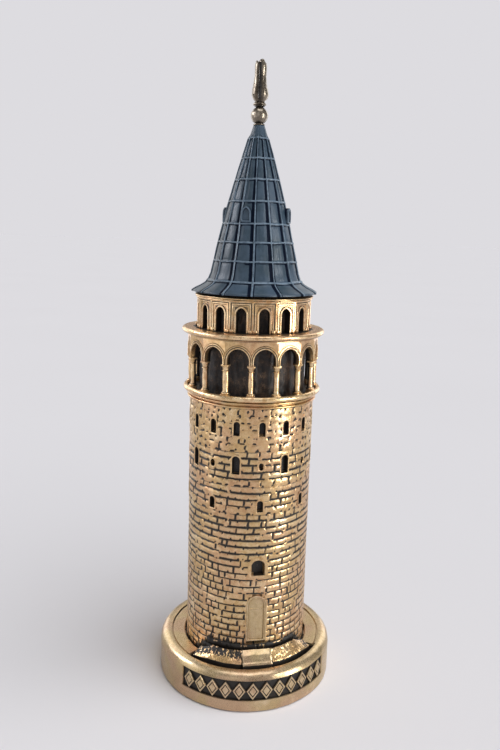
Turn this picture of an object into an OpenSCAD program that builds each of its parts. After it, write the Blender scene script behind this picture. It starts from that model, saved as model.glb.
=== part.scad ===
// Souvenir tower: a cast model of a round stone watchtower with an arcaded gallery, a windowed
// lantern, a ribbed conical roof and a metal finial, standing on a round plinth.
// The door faces -Y, +Z is up and the origin is the centre of the resting face.

/* [Plinth] */
// Outer radius of the round plinth
base_r = 29.2; // [28.6:0.1:31]
// Height of the plinth's rolled rim above the table
base_h = 13.2; // [12.8:0.1:15]
// Radius of the rolled rim's section
rim_r = 3.0; // [2.4:0.1:3.4]
// Half angle of the raised ornament on the front of the plinth
frieze_half_angle = 53; // [40:1:66]
// Number of raised lozenges in the plinth's ornament
frieze_count = 12; // [8:1:13]

/* [Shaft] */
// Radius of the masonry shaft
shaft_r = 20.2; // [19.8:0.1:20.6]
// Height of the masonry shaft above the plinth's floor
shaft_h = 85.1; // [84:0.1:90]
// Number of masonry courses
courses = 38; // [30:1:44]
// Depth of the joints between courses
joint_depth = 0.25; // [0.15:0.05:0.4]
// Depth of the windows
window_depth = 1.6; // [1:0.1:2.4]

/* [Galleries] */
// Number of bays round the arcade and the lantern
bays = 16; // [12:4:16]
// Outer radius of the lower gallery's lip
lower_lip_r = 22.3; // [22:0.1:23]
// Outer radius of the upper gallery's lip
upper_lip_r = 22.8; // [22.4:0.1:23.5]
// Height of the arcade between the two galleries
arcade_h = 17.8; // [16.8:0.1:19]
// Diameter of one arcade column
column_d = 1.7; // [1.4:0.1:2]

/* [Lantern] */
// Distance from the axis to a flat face of the lantern
lantern_face = 17.8; // [17.4:0.1:18.2]
// Height of the lantern's window storey
lantern_h = 9.5; // [9:0.1:10.5]
// Width of a lantern window
lantern_window_w = 3.3; // [2.6:0.1:3.8]

/* [Roof] */
// Radius of the eave
eave_r = 19.7; // [19.5:0.1:20.5]
// Height of the roof from the eave to the cap
roof_h = 50.7; // [48:0.1:54]
// Number of ribs on the roof
ribs = 14; // [10:1:18]
// Number of cross battens up the roof
battens = 8; // [5:1:9]
// How far the ribs and battens stand out of the panels
rib_height = 0.45; // [0.3:0.05:0.7]

/* [Finial] */
// Radius of the finial's ball
ball_r = 2.6; // [2.2:0.1:3]
// Height of the finial's bud
bud_h = 13.4; // [12:0.1:15]

/* [Hidden] */
$fn = 96;
eps = 0.01;

// Small radial clearance of each spigot in its socket
glue_gap = 0.1;
// Height of the plinth's wall above the table, where only the felt touches
felt_stand = 0.3;
felt_t = 1.0;
felt_r = base_r - 2.2;

// Levels, from the table up
moat_z = base_h - 1.9;
field_z = base_h - 0.5;
shaft_top_z = moat_z + shaft_h;
gallery_t = 2.6;
gallery_z = shaft_top_z + gallery_t;
arcade_top_z = gallery_z + arcade_h;
upper_t = 2.1;
ledge_z = arcade_top_z + upper_t;
lantern_top_z = ledge_z + lantern_h;
cornice_t = 1.7;
eave_z = lantern_top_z + cornice_t;
cap_z = eave_z + roof_h;
ball_z = cap_z + ball_r + 0.25;
bud_z = ball_z + ball_r + 0.35;

// The plinth's top, from the rim inwards
rim_centre_r = base_r - rim_r;
moat_r = 20.9;
front_moat_r = 25.8;
groove_r = 25.0;
apron_in_r = shaft_r + 1.0;
apron_out_r = 24.6;
apron_top_z = moat_z + 5.7;
apron_edge_z = moat_z + 2.7;
apron_half_angle = 53;
slab_w = 9.6;

// Spigots that stack the cast sections
foot_spigot_r = 14;
foot_spigot_h = 6;
core_spigot_r = 12;
core_r = 17;
lantern_core_r = 15.2;
roof_socket_h = 3;

// Plinth ornament
frieze_z = 4.2;
frieze_h = 6.8;
frieze_depth = 0.8;

// Openings in the shaft: widths, sill heights above the table, and heights
course_h = shaft_h / courses;
slot_w = 2.0;
slot_z = shaft_top_z - 8.5;
slot_h = 4.4;
window_w = 2.5;
window_z = shaft_top_z - 20.9;
window_h = 5.8;
hole_w = 1.8;
hole_h = 2.4;
hole_z = shaft_top_z - 19.3;
small_w = 1.9;
small_z = shaft_top_z - 32.9;
small_h = 3.8;
stair_w = 4.5;
stair_z = shaft_top_z - 54.2;
stair_h = 5.3;
stair_frame = 0.9;
door_w = 6.6;
door_z = moat_z + 8.2;
door_h = 15.8;
door_frame = 1.0;
door_depth = 0.9;
niche_gap = 0.05;

// Arcade
bay = 360 / bays;
arcade_face = 20.6;
arcade_wall = 2.6;
arch_w = 2 * arcade_face * tan(bay / 2) - 1.5;
arch_crown_z = arcade_top_z - 1.9;
spring_z = arch_crown_z - arch_w / 2;
column_r = arcade_face - 0.6;
column_base_h = 2.2;
capital_h = 1.3;

// Roof
roof_bulge = 0.7;
skirt_h = 5.8;
skirt_r = 13.9;
cap_r = 1.7;
rib_w = 0.9;
batten_w = 0.7;
batten_z = eave_z + 3.8;
batten_step = (cap_z - 3.9 - batten_z) / (battens - 1);
dormers = 4;
dormer_w = 3.0;
dormer_h = 4.6;
dormer_z = eave_z + 21.6;
dormer_turn = -28;
pin_r = 0.8;
pin_below = 10;
pin_above = 5;

gold = [0.78, 0.66, 0.48];
dark_wash = [0.16, 0.12, 0.09];
slate = [0.30, 0.40, 0.48];
bronze = [0.42, 0.33, 0.20];
felt_green = [0.12, 0.13, 0.14];

// An upright outline with a half-round head
module round_arch(w, h) {
  translate([-w / 2, 0]) square([w, h - w / 2]);
  translate([0, h - w / 2]) circle(d = w);
}

// An upright outline with a half-round head and foot
module round_slot(w, h) {
  translate([0, w / 2]) circle(d = w);
  translate([0, w / 2]) round_arch(w, h - w / 2);
}

// An upright outline with a pointed head struck from two centres
module pointed_arch(w, h) {
  spring = h - w * sqrt(3) / 2 * 0.8;
  translate([-w / 2, 0]) square([w, spring]);
  translate([0, spring]) scale([1, 0.8]) intersection() {
    translate([-w / 2, 0]) circle(r = w);
    translate([w / 2, 0]) circle(r = w);
    translate([-w / 2, 0]) square([w, w]);
  }
}

// Stands an outline upright in front of the axis, from radius r1 out to r2, turned to an angle
module radial(turn, r1, r2, z) {
  rotate([0, 0, turn]) translate([0, -r1, z]) rotate([90, 0, 0]) linear_extrude(r2 - r1) children();
}

// A flat-sided outline whose faces are centred on the bays
module bay_polygon(face) {
  polygon([
    for (i = [0:bays - 1]) let (a = bay * (i + 0.5) - 90) face / cos(bay / 2) * [cos(a), sin(a)]
  ]);
}

module tube(r1, r2, h) {
  difference() {
    cylinder(r = r2, h = h);
    translate([0, 0, -eps]) cylinder(r = r1, h = h + 2 * eps);
  }
}

// A slice of a ring, centred on the door
module front_sector(r1, r2, z, h, half_angle) {
  rotate([0, 0, -90 - half_angle]) translate([0, 0, z])
    rotate_extrude(angle = 2 * half_angle) translate([r1, 0]) square([r2 - r1, h]);
}

module felt_pad() {
  color(felt_green) cylinder(r = felt_r, h = felt_t);
}

module plinth_body() {
  rotate_extrude() difference() {
    union() {
      translate([0, felt_stand]) square([base_r, base_h - rim_r - felt_stand]);
      translate([0, felt_stand]) square([rim_centre_r, field_z - felt_stand]);
      translate([rim_centre_r, base_h - rim_r]) circle(r = rim_r);
    }
    translate([0, -eps]) square([felt_r + 0.1, felt_t + eps]);
    translate([0, moat_z]) square([moat_r, base_h]);
    translate([groove_r, field_z - 0.5]) square([0.4, 1]);
    translate([0, moat_z - foot_spigot_h - 0.3]) square([foot_spigot_r + glue_gap, base_h]);
  }
}

// A row of raised lozenges
module plinth_ornament() {
  step = 2 * (frieze_half_angle - 1.5) / frieze_count;
  half_w = base_r * sin(step / 2) - 0.15;
  half_h = frieze_h / 2 - 0.4;
  for (i = [0:frieze_count - 1])
    radial((i - (frieze_count - 1) / 2) * step, base_r - frieze_depth - 0.6, base_r + 1, frieze_z)
      translate([0, half_h + 0.3]) polygon([[-half_w, 0], [0, -half_h], [half_w, 0], [0, half_h]]);
}

module base_plinth() {
  color(gold) union() {
    difference() {
      plinth_body();
      front_sector(shaft_r - 2, front_moat_r, moat_z, base_h, apron_half_angle + 3);
      front_sector(base_r - frieze_depth, base_r + 1, frieze_z, frieze_h, frieze_half_angle);
    }
    intersection() {
      plinth_ornament();
      front_sector(base_r - frieze_depth - 0.3, base_r - 0.1, 0, base_h, frieze_half_angle);
    }
  }
}

// Side outline of the sloping stone apron, from its inner edge to its front edge
module apron_outline() {
  polygon([
    [apron_in_r, moat_z], [apron_out_r, moat_z], [apron_out_r, apron_edge_z],
    [apron_out_r - 0.6, apron_edge_z + 0.5], [apron_in_r, apron_top_z]
  ]);
}

module entrance_apron() {
  color(gold) difference() {
    rotate([0, 0, -90 - apron_half_angle]) rotate_extrude(angle = 2 * apron_half_angle) apron_outline();
    translate([-slab_w / 2 - 0.05, -apron_out_r - 1, moat_z - 1]) cube([slab_w + 0.1, 8, 10]);
  }
}

module entrance_slab() {
  color(gold) rotate([0, 0, -90]) rotate([90, 0, 0]) translate([0, 0, -slab_w / 2])
    linear_extrude(slab_w) polygon([
      [apron_in_r, moat_z], [apron_out_r + 0.3, moat_z], [apron_out_r + 0.3, apron_edge_z],
      [apron_in_r, apron_top_z + 0.2]
    ]);
}

// The shaft's outline with a shallow joint at each course
module shaft_outline() {
  polygon(concat(
    [[0, moat_z]],
    [for (i = [0:courses - 1]) for (k = [0:3])
      [shaft_r - [0, 0, joint_depth, joint_depth][k],
       moat_z + course_h * (i + [0, 0.86, 0.9, 1][k])]],
    [[0, shaft_top_z]]
  ));
}

module shaft_openings() {
  for (i = [0:bays - 1])
    radial(i * bay, shaft_r - window_depth, shaft_r + 1, slot_z) round_arch(slot_w, slot_h);
  for (i = [1:2:bays - 1])
    radial(i * bay, shaft_r - window_depth, shaft_r + 1, window_z) round_arch(window_w, window_h);
  for (i = [0:2:bays - 2])
    radial(i * bay, shaft_r - window_depth, shaft_r + 1, hole_z) round_slot(hole_w, hole_h);
  for (i = [0:2:bays - 2])
    radial(i * bay, shaft_r - window_depth, shaft_r + 1, small_z) round_arch(small_w, small_h);
  radial(0, shaft_r - window_depth, shaft_r + 1, stair_z) round_arch(stair_w, stair_h);
  radial(0, shaft_r - door_depth, shaft_r + 1, door_z)
    round_arch(door_w + 2 * niche_gap, door_h + niche_gap);
}

module tower_shaft() {
  color(gold) difference() {
    union() {
      rotate_extrude() shaft_outline();
      translate([0, 0, moat_z - foot_spigot_h]) cylinder(r = foot_spigot_r, h = foot_spigot_h + 1);
      intersection() {
        radial(0, shaft_r - 1, shaft_r + 1, stair_z - stair_frame)
          round_arch(stair_w + 2 * stair_frame, stair_h + 2 * stair_frame);
        cylinder(r = shaft_r + 0.3, h = shaft_top_z);
      }
    }
    shaft_openings();
    translate([0, 0, shaft_top_z - 4]) cylinder(r = core_spigot_r + glue_gap, h = 5);
  }
}

module door_panel() {
  color(gold) intersection() {
    translate([0, 0, door_z]) tube(shaft_r - door_depth + 0.05, shaft_r + 0.35, door_h);
    difference() {
      radial(0, shaft_r - door_depth - 1, shaft_r + 1, door_z) round_arch(door_w, door_h);
      difference() {
        radial(0, shaft_r - 0.2, shaft_r + 2, door_z - eps)
          round_arch(door_w - 2 * door_frame, door_h - door_frame);
        radial(0, shaft_r - 1, shaft_r + 2, door_z + door_h - door_w / 2 - 2)
          translate([-door_w / 2, 0]) square([door_w, 0.5]);
      }
    }
  }
}

module lower_gallery() {
  color(gold) rotate_extrude() difference() {
    union() {
      translate([0, shaft_top_z]) square([shaft_r + 0.5, 0.8]);
      translate([0, shaft_top_z]) square([shaft_r + 0.15, gallery_t]);
      translate([0, shaft_top_z + 1.3]) square([shaft_r + 0.9, 0.8]);
      translate([0, gallery_z - 0.7]) square([lower_lip_r - 0.9, 0.7]);
      translate([lower_lip_r - 0.9, gallery_z + 0.5]) circle(r = 0.9);
      translate([lower_lip_r - 1.4, gallery_z - 0.5]) square([0.9, 1]);
    }
    translate([0, gallery_z]) square([lower_lip_r - 1.3, 3]);
    translate([0, shaft_top_z - 1]) square([core_spigot_r + glue_gap, 10]);
  }
}

module arcade_core() {
  color(dark_wash) union() {
    translate([0, 0, gallery_z]) cylinder(r = core_r, h = arcade_h);
    translate([0, 0, shaft_top_z - 3.8]) cylinder(r = core_spigot_r, h = gallery_t + 4);
  }
}

// One column: square base block, round shaft and round capital
module column() {
  translate([-1.15, -1.1, 0]) cube([2.3, 2.2, column_base_h]);
  rotate_extrude() union() {
    square([column_d / 2, spring_z + 0.2 - gallery_z]);
    square([1.05, column_base_h + 0.5]);
    translate([0, spring_z - gallery_z - capital_h]) square([1.15, capital_h + 0.2]);
  }
}

module arcade_ring() {
  color(gold) union() {
    difference() {
      translate([0, 0, spring_z]) linear_extrude(arcade_top_z - spring_z) difference() {
        bay_polygon(arcade_face);
        circle(r = arcade_face - arcade_wall);
      }
      for (i = [0:bays - 1])
        radial(i * bay, arcade_face - arcade_wall - 0.8, arcade_face + 2, spring_z) circle(d = arch_w);
    }
    for (i = [0:bays - 1])
      rotate([0, 0, (i + 0.5) * bay]) translate([0, -column_r, gallery_z]) column();
  }
}

module upper_gallery() {
  color(gold) rotate_extrude() difference() {
    union() {
      translate([0, arcade_top_z]) square([upper_lip_r - 1.1, upper_t]);
      translate([upper_lip_r - 1.05, ledge_z - 0.75]) circle(r = 1.05);
    }
    translate([0, ledge_z]) square([upper_lip_r - 1.1, 3]);
    translate([0, arcade_top_z - 1]) square([core_spigot_r + glue_gap, 10]);
  }
}

module lantern_core() {
  color(dark_wash) union() {
    translate([0, 0, arcade_top_z]) cylinder(r = core_spigot_r, h = upper_t + 1);
    translate([0, 0, ledge_z]) cylinder(r = lantern_core_r, h = eave_z - ledge_z);
    translate([0, 0, eave_z - 1]) cylinder(r = core_spigot_r, h = roof_socket_h + 0.8);
  }
}

module lantern_drum() {
  pilaster_r = lantern_face / cos(bay / 2) - 0.35;
  color(gold) union() {
    difference() {
      translate([0, 0, ledge_z]) linear_extrude(lantern_h) bay_polygon(lantern_face);
      translate([0, 0, ledge_z - eps]) cylinder(r = lantern_core_r + glue_gap, h = lantern_h + 1);
      for (i = [0:bays - 1])
        radial(i * bay, lantern_core_r - 1, lantern_face + 2, ledge_z + 0.9)
          pointed_arch(lantern_window_w, lantern_h - 3);
    }
    for (i = [0:bays - 1]) rotate([0, 0, (i + 0.5) * bay]) translate([0, -pilaster_r, ledge_z]) {
      translate([-0.5, -0.5, 0]) cube([1, 1, lantern_h]);
      translate([-1, -0.75, 0]) cube([2, 1.2, 1.3]);
    }
  }
}

module cornice_ring() {
  color(gold) rotate_extrude() difference() {
    union() {
      translate([0, lantern_top_z]) square([lantern_face + 0.7, cornice_t]);
      translate([0, eave_z - 0.5]) square([lantern_face + 1.0, 0.5]);
    }
    translate([0, lantern_top_z - 1]) square([lantern_core_r + glue_gap, 5]);
  }
}

// Radius of the roof's panels at a height above the skirt, slightly bulged
function roof_r(t) = skirt_r + (cap_r - skirt_r) * t + roof_bulge * sin(180 * t);

// Half of the roof's section, grown outwards by a given amount
module roof_outline(grow) {
  slope_z = eave_z + skirt_h;
  slope_h = cap_z - slope_z;
  polygon(concat(
    [[0, eave_z], [eave_r, eave_z], [eave_r, eave_z + 0.6], [eave_r - 1.6, eave_z + 1.5 + grow],
     [eave_r - 4.3, eave_z + 3.4 + grow]],
    [for (i = [0:12]) [roof_r(i / 12) + grow, slope_z + slope_h * i / 12]],
    [[0, cap_z]]
  ));
}

module roof_rib() {
  rotate([90, 0, 0]) linear_extrude(rib_w, center = true) intersection() {
    roof_outline(rib_height);
    translate([0, eave_z]) square([eave_r, cap_z - eave_z - 3]);
  }
}

module roof_batten(z) {
  intersection() {
    rotate_extrude() roof_outline(rib_height);
    translate([0, 0, z - batten_w / 2]) cylinder(r = eave_r, h = batten_w);
  }
}

module roof_cone() {
  color(slate) difference() {
    union() {
      rotate_extrude() roof_outline(0);
      for (i = [0:ribs - 1]) rotate([0, 0, (i + 0.5) * 360 / ribs - 90]) roof_rib();
      for (i = [0:battens - 1]) roof_batten(batten_z + i * batten_step);
    }
    translate([0, 0, eave_z - 1]) cylinder(r = core_spigot_r + glue_gap, h = roof_socket_h + 1);
    translate([0, 0, cap_z - pin_below - 0.3]) cylinder(r = pin_r + 0.05, h = pin_below + 1, $fn = 32);
  }
}

module roof_dormers() {
  dormer_r = roof_r((dormer_z - eave_z - skirt_h) / (roof_h - skirt_h));
  color(slate) for (i = [0:dormers - 1])
    difference() {
      radial(dormer_turn + i * 360 / dormers, dormer_r - 2.4, dormer_r + 0.9, dormer_z)
        pointed_arch(dormer_w, dormer_h);
      radial(dormer_turn + i * 360 / dormers, dormer_r + 0.3, dormer_r + 2, dormer_z + 0.5)
        pointed_arch(dormer_w - 1.1, dormer_h - 1.4);
      rotate_extrude() roof_outline(0);
    }
}

module finial_pin() {
  color("silver") translate([0, 0, cap_z - pin_below])
    cylinder(r = pin_r, h = pin_below + bud_z - cap_z + pin_above, $fn = 32);
}

module finial_ball() {
  color(bronze) difference() {
    union() {
      translate([0, 0, cap_z]) cylinder(r = 1.5, h = 1);
      intersection() {
        translate([0, 0, ball_z]) sphere(r = ball_r);
        translate([0, 0, cap_z + 0.2]) cylinder(r = ball_r + 1, h = 3 * ball_r);
      }
      translate([0, 0, bud_z - 1.2]) cylinder(r = 1.35, h = 1.2);
    }
    translate([0, 0, cap_z - 1]) cylinder(r = pin_r + 0.05, h = 4 * ball_r, $fn = 32);
  }
}

module finial_bud() {
  color(bronze) difference() {
    translate([0, 0, bud_z]) union() {
      cylinder(r = 2.0, h = 0.8);
      translate([0, 0, 0.8]) cylinder(r1 = 1.5, r2 = 2.6, h = 1.7);
      translate([0, 0, 2.5]) cylinder(r1 = 2.6, r2 = 2.0, h = 4);
      translate([0, 0, 6.5]) cylinder(r = 2.0, h = bud_h - 8.1);
      translate([0, 0, bud_h - 1.6]) cylinder(r1 = 2.0, r2 = 1.3, h = 1.6);
    }
    translate([-0.45, -4, bud_z + bud_h - 1.5]) cube([0.5, 8, 3]);
    translate([0, 0, bud_z - 1]) cylinder(r = pin_r + 0.05, h = pin_above + 1.2, $fn = 32);
  }
}

felt_pad();
base_plinth();
entrance_apron();
entrance_slab();
tower_shaft();
door_panel();
lower_gallery();
arcade_core();
arcade_ring();
upper_gallery();
lantern_core();
lantern_drum();
cornice_ring();
roof_cone();
roof_dormers();
finial_pin();
finial_ball();
finial_bud();
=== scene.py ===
import math

import bmesh
import bpy
import numpy as np
from mathutils import Matrix, Vector, noise

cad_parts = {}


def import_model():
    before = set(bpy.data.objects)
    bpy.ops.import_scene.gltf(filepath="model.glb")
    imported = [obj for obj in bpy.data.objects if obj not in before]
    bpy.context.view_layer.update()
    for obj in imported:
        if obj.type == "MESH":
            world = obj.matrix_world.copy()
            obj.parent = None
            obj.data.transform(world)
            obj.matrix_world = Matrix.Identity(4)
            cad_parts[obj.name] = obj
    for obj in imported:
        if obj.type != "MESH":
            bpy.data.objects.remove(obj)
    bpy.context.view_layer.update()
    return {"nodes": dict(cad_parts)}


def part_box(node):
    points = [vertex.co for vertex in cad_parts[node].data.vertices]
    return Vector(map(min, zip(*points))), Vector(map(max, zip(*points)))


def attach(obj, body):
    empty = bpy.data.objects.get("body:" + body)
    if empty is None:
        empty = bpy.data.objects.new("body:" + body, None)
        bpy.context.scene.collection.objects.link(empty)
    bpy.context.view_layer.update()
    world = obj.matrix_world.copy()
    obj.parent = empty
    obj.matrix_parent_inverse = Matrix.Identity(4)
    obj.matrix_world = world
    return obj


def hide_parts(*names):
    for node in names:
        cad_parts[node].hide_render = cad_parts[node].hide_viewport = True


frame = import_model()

MM = 0.001
MERGE = 2e-7  # metres between points that count as one
TAU = 2 * math.pi


def low(node):
    return np.array(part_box(node)[0]) / MM


def high(node):
    return np.array(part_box(node)[1]) / MM


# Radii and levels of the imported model
BASE_R = high("base_plinth")[0]
BASE_H = high("base_plinth")[2]
FELT_R = high("felt_pad")[0]
FELT_T = high("felt_pad")[2]
MOAT_Z = low("entrance_apron")[2]
SHAFT_R = high("tower_shaft")[0]
SHAFT_TOP = low("lower_gallery")[2]
GALLERY_Z = low("arcade_ring")[2]
ARCADE_TOP = low("upper_gallery")[2]
LEDGE_Z = low("lantern_drum")[2]
CORNICE_Z = low("cornice_ring")[2]
EAVE_Z = low("roof_cone")[2]
CAP_Z = high("roof_cone")[2]
BUD_Z = low("finial_bud")[2]
TOP_Z = high("finial_bud")[2]
LOWER_LIP_R = high("lower_gallery")[0]
UPPER_LIP_R = high("upper_gallery")[0]
CORE_R = 17.0
LANTERN_CORE_R = 15.2
SPIGOT_R = 12.0
EAVE_R = high("roof_cone")[0]

BAYS = 16
BAY = TAU / BAYS


# ---------------------------------------------------------------- meshes

def even(count):
    """Evenly spaced angles of a full turn."""
    return np.linspace(0, TAU, count, endpoint=False)


def polar(theta, r, z):
    """Points at an angle from the door, a distance from the axis and a height."""
    theta, r, z = np.broadcast_arrays(theta, r, z)
    return np.stack([r * np.sin(theta), -r * np.cos(theta), z], -1)


def waves(theta, z, count, turns, length, seed):
    """Smooth unevenness that closes on itself round the axis, about -1 to 1."""
    r = np.random.RandomState(seed)
    total = 0
    for _ in range(count):
        k = r.randint(1, turns + 1)
        p = r.uniform(-1, 1) * TAU / length
        total = total + np.sin(k * theta + p * z + r.uniform(0, TAU))
    return total / math.sqrt(count)


def quads(rows, cols, wrap_rows, wrap_cols):
    """Corner indices of a grid of points, and each corner's place along rows and columns."""
    i = np.arange(rows if wrap_rows else rows - 1)
    j = np.arange(cols if wrap_cols else cols - 1)
    i, j = [a.ravel() for a in np.meshgrid(i, j, indexing="ij")]
    di = np.array([0, 0, 1, 1])
    dj = np.array([0, 1, 1, 0])
    ri = i[:, None] + di
    cj = j[:, None] + dj
    return (ri % rows) * cols + cj % cols, ri, cj


class Patch:
    """A grid surface: points, faces, texture places, and each point's wash, lift and tone."""

    def __init__(self, points, wash=0.0, lift=0.0, wrap_rows=False, wrap_cols=True, tone=0.0):
        points = np.asarray(points, float)
        rows, cols = points.shape[:2]
        self.points = points.reshape(-1, 3)
        self.faces, ri, cj = quads(rows, cols, wrap_rows, wrap_cols)
        closed = np.concatenate([points, points[:1]]) if wrap_rows else points
        step = np.linalg.norm(np.diff(closed, axis=0), axis=2).mean(1)
        along = np.concatenate([[0], np.cumsum(step)])
        along = along / max(along[-1], 1e-9)
        self.uv = np.stack([cj / (cols if wrap_cols else cols - 1), along[ri]], -1).reshape(-1, 2)
        self.wash, self.lift, self.tone = [np.broadcast_to(v, (rows, cols)).ravel()
                                           for v in (wash, lift, tone)]

    def place_uv(self, u0, v0, u1, v1):
        self.uv = self.uv * [u1 - u0, v1 - v0] + [u0, v0]
        return self


def build(name, patches, material, node, sharp=35, mapped=True):
    """Joins patches into one piece that stands for a CAD node."""
    starts = np.cumsum([0] + [len(p.points) for p in patches])
    faces = np.concatenate([p.faces + start for p, start in zip(patches, starts)])
    points = np.concatenate([p.points for p in patches]) * MM
    mesh = bpy.data.meshes.new(name)
    mesh.vertices.add(len(points))
    mesh.vertices.foreach_set("co", points.ravel())
    mesh.loops.add(faces.size)
    mesh.loops.foreach_set("vertex_index", faces.ravel())
    mesh.polygons.add(len(faces))
    mesh.polygons.foreach_set("loop_start", np.arange(0, faces.size, 4))
    mesh.polygons.foreach_set("use_smooth", np.ones(len(faces), bool))
    for key in ("wash", "lift", "tone"):
        values = np.concatenate([getattr(p, key) for p in patches]).astype(np.float32)
        mesh.attributes.new(key, "FLOAT", "POINT").data.foreach_set("value", values)
    if mapped:
        places = np.concatenate([p.uv for p in patches]).astype(np.float32)
        mesh.uv_layers.new(name="OFBake").uv.foreach_set("vector", places.ravel())
    mesh.update()
    mesh.validate()
    clean(mesh)
    mesh.set_sharp_from_angle(angle=math.radians(sharp))
    piece = bpy.data.objects.new(name, mesh)
    bpy.context.scene.collection.objects.link(piece)
    mesh.materials.append(material)
    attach(piece, "root")
    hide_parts(node)
    return piece


def clean(mesh):
    """Merges points that meet, such as those at a pole, and drops faces that close up."""
    bm = bmesh.new()
    bm.from_mesh(mesh)
    bmesh.ops.remove_doubles(bm, verts=bm.verts, dist=MERGE)
    bmesh.ops.dissolve_degenerate(bm, edges=bm.edges, dist=MERGE / 2)
    bm.to_mesh(mesh)
    bm.free()


def curve(*parts):
    """A section line from corner points and arcs.
    An arc is (centre r, centre z, radius, from, to, steps), with its angles in degrees."""
    line = []
    for part in parts:
        if len(part) == 2:
            line.append(part)
            continue
        cr, cz, radius, a0, a1, steps = part
        for a in np.radians(np.linspace(a0, a1, steps + 1)):
            line.append((cr + radius * math.cos(a), cz + radius * math.sin(a)))
    return np.array(line, float)


def refine(line, step, closed=False):
    """Adds points so that no stretch of the section is longer than step."""
    out = []
    ends = np.concatenate([line, line[:1]]) if closed else line
    for a, b in zip(ends[:-1], ends[1:]):
        n = max(1, int(math.ceil(np.linalg.norm(b - a) / step)))
        out += [a + (b - a) * k / n for k in range(n)]
    if not closed:
        out.append(ends[-1])
    return np.array(out)


def turned(line, angles):
    """Angles, radii and heights of a section at each angle, with the seam behind the tower."""
    theta = angles[None, :] - math.pi
    return theta, line[:, :1] + 0 * theta, line[:, 1:] + 0 * theta


def capped(grid, below, above):
    """A grid with whole rows of one value added before its first row and after its last."""
    before, after = [[np.full_like(grid[:1], v) for v in rows] for rows in (below, above)]
    return np.concatenate(before + [grid] + after)


def lathe(line, cols, uneven, seed, closed=False, wash=None, lift=None):
    """Turns a section about the axis, with a little casting unevenness."""
    theta, r, z = turned(line, even(cols))
    soft = np.minimum(r / 2, 1)
    z = z + uneven * soft * waves(theta, r * 3, 7, 9, 60, seed + 1) * 0.5
    r = r + uneven * soft * waves(theta, z, 9, 14, 25, seed)
    w = 0.0 if wash is None else wash(theta, r, z)
    up = 0.0 if lift is None else lift(theta, r, z)
    return Patch(polar(theta, r, z), w, up, wrap_rows=closed)


# ---------------------------------------------------------------- arches

def arch(w, h, out, legs, head, foot=0, rise=None, sill=0.0):
    """An arch outline grown outwards by out, from the right foot over the head to the left foot.
    rise is the radius of each side of a pointed head; a round head has half the width."""
    half = w / 2
    big = rise or half
    spring = h - math.sqrt(2 * big * half - half * half)
    centre = half - big
    radius = big + out
    top = math.acos(np.clip(-centre / radius, -1, 1))
    a = np.linspace(0, top, head + 1)
    x = centre + radius * np.cos(a)
    z = spring + radius * np.sin(a)
    x[-1] = 0
    leg_z = np.linspace(-out * sill, spring, legs + 1)[:-1]
    right_x = np.concatenate([np.full(legs, half + out), x])
    right_z = np.concatenate([leg_z, z])
    line = np.stack([np.concatenate([right_x, -right_x[-2::-1]]),
                     np.concatenate([right_z, right_z[-2::-1]])], -1)
    if foot:
        fx = np.linspace(-half - out, half + out, foot + 2)[1:-1]
        line = np.concatenate([line, np.stack([fx, np.full(foot, -out * sill)], -1)])
    return line


def box_round(line, half_w, top, centre_z):
    """The same outline pushed straight out to the sides and top of a rectangle, corners kept."""
    out = line.copy()
    for k, (x, z) in enumerate(line):
        if z <= centre_z:
            out[k] = (math.copysign(half_w, x), z)
            continue
        dx, dz = x, z - centre_z
        t = min(half_w / max(abs(dx), 1e-9), (top - centre_z) / max(dz, 1e-9))
        out[k] = (dx * t, centre_z + dz * t)
    for side in (-1, 1):
        corner = np.array([side * half_w, top])
        k = np.argmin(np.linalg.norm(out - corner, axis=1))
        out[k] = corner
    return out


def bend(rows, depths, theta0, radius, z0):
    """Wraps flat outlines onto a cylinder about the axis. rows are (x, z) lines."""
    rows = np.asarray(rows, float)
    depth = np.asarray(depths, float)[:, None]
    return polar(theta0 + rows[..., 0] / radius, radius + depth, z0 + rows[..., 1])


def flat(rows, depths, turn, face, z0):
    """Stands flat outlines on a face square to a direction."""
    rows = np.asarray(rows, float)
    d = face + np.asarray(depths, float)[:, None] + 0 * rows[..., 0]
    x = rows[..., 0]
    return np.stack([x * math.cos(turn) + d * math.sin(turn),
                     x * math.sin(turn) - d * math.cos(turn), z0 + rows[..., 1]], -1)


def oval(w, h, out, count):
    """An upright oval grown outwards by out, from its right side over the top and back."""
    a = even(count)
    return np.stack([(w / 2 + out) * np.cos(a), h / 2 + (h / 2 + out) * np.sin(a)], -1)


def sections(steps, outline):
    """Splits steps of (growth, depth, wash, lift) into outlines, depths, and wash and lift by row."""
    growth, depth, wash, lift = np.array(steps, float).T
    return [outline(g) for g in growth], depth, wash[:, None], lift[:, None]


def opening(theta, z0, w, h, flange, deep, proud=0.06, is_oval=False):
    """A recessed opening in the shaft: plain surround, reveal and dark back."""
    half = w / 2
    steps = [(flange, -0.35, 0.0, 0.0), (flange - 0.04, proud * 0.6, 0.0, 0.2), (0.12, proud, 0.0, 0.6),
             (0.0, proud - 0.08, 0.35, 0.3), (-0.05, -0.3, 0.9, 0.0), (-0.08, -deep * 0.7, 1.0, 0.0),
             (-0.1, -deep, 1.0, 0.0), (-half * 0.6, -deep, 1.0, 0.0), (-half * 0.995, -deep, 1.0, 0.0)]
    rows, depth, wash, lift = sections(
        steps, lambda g: oval(w, h, g, 24) if is_oval else arch(w, h, g, legs=5, head=9, foot=6, sill=1.0))
    return Patch(bend(rows, depth, theta, SHAFT_R, z0), wash, lift)


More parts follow.
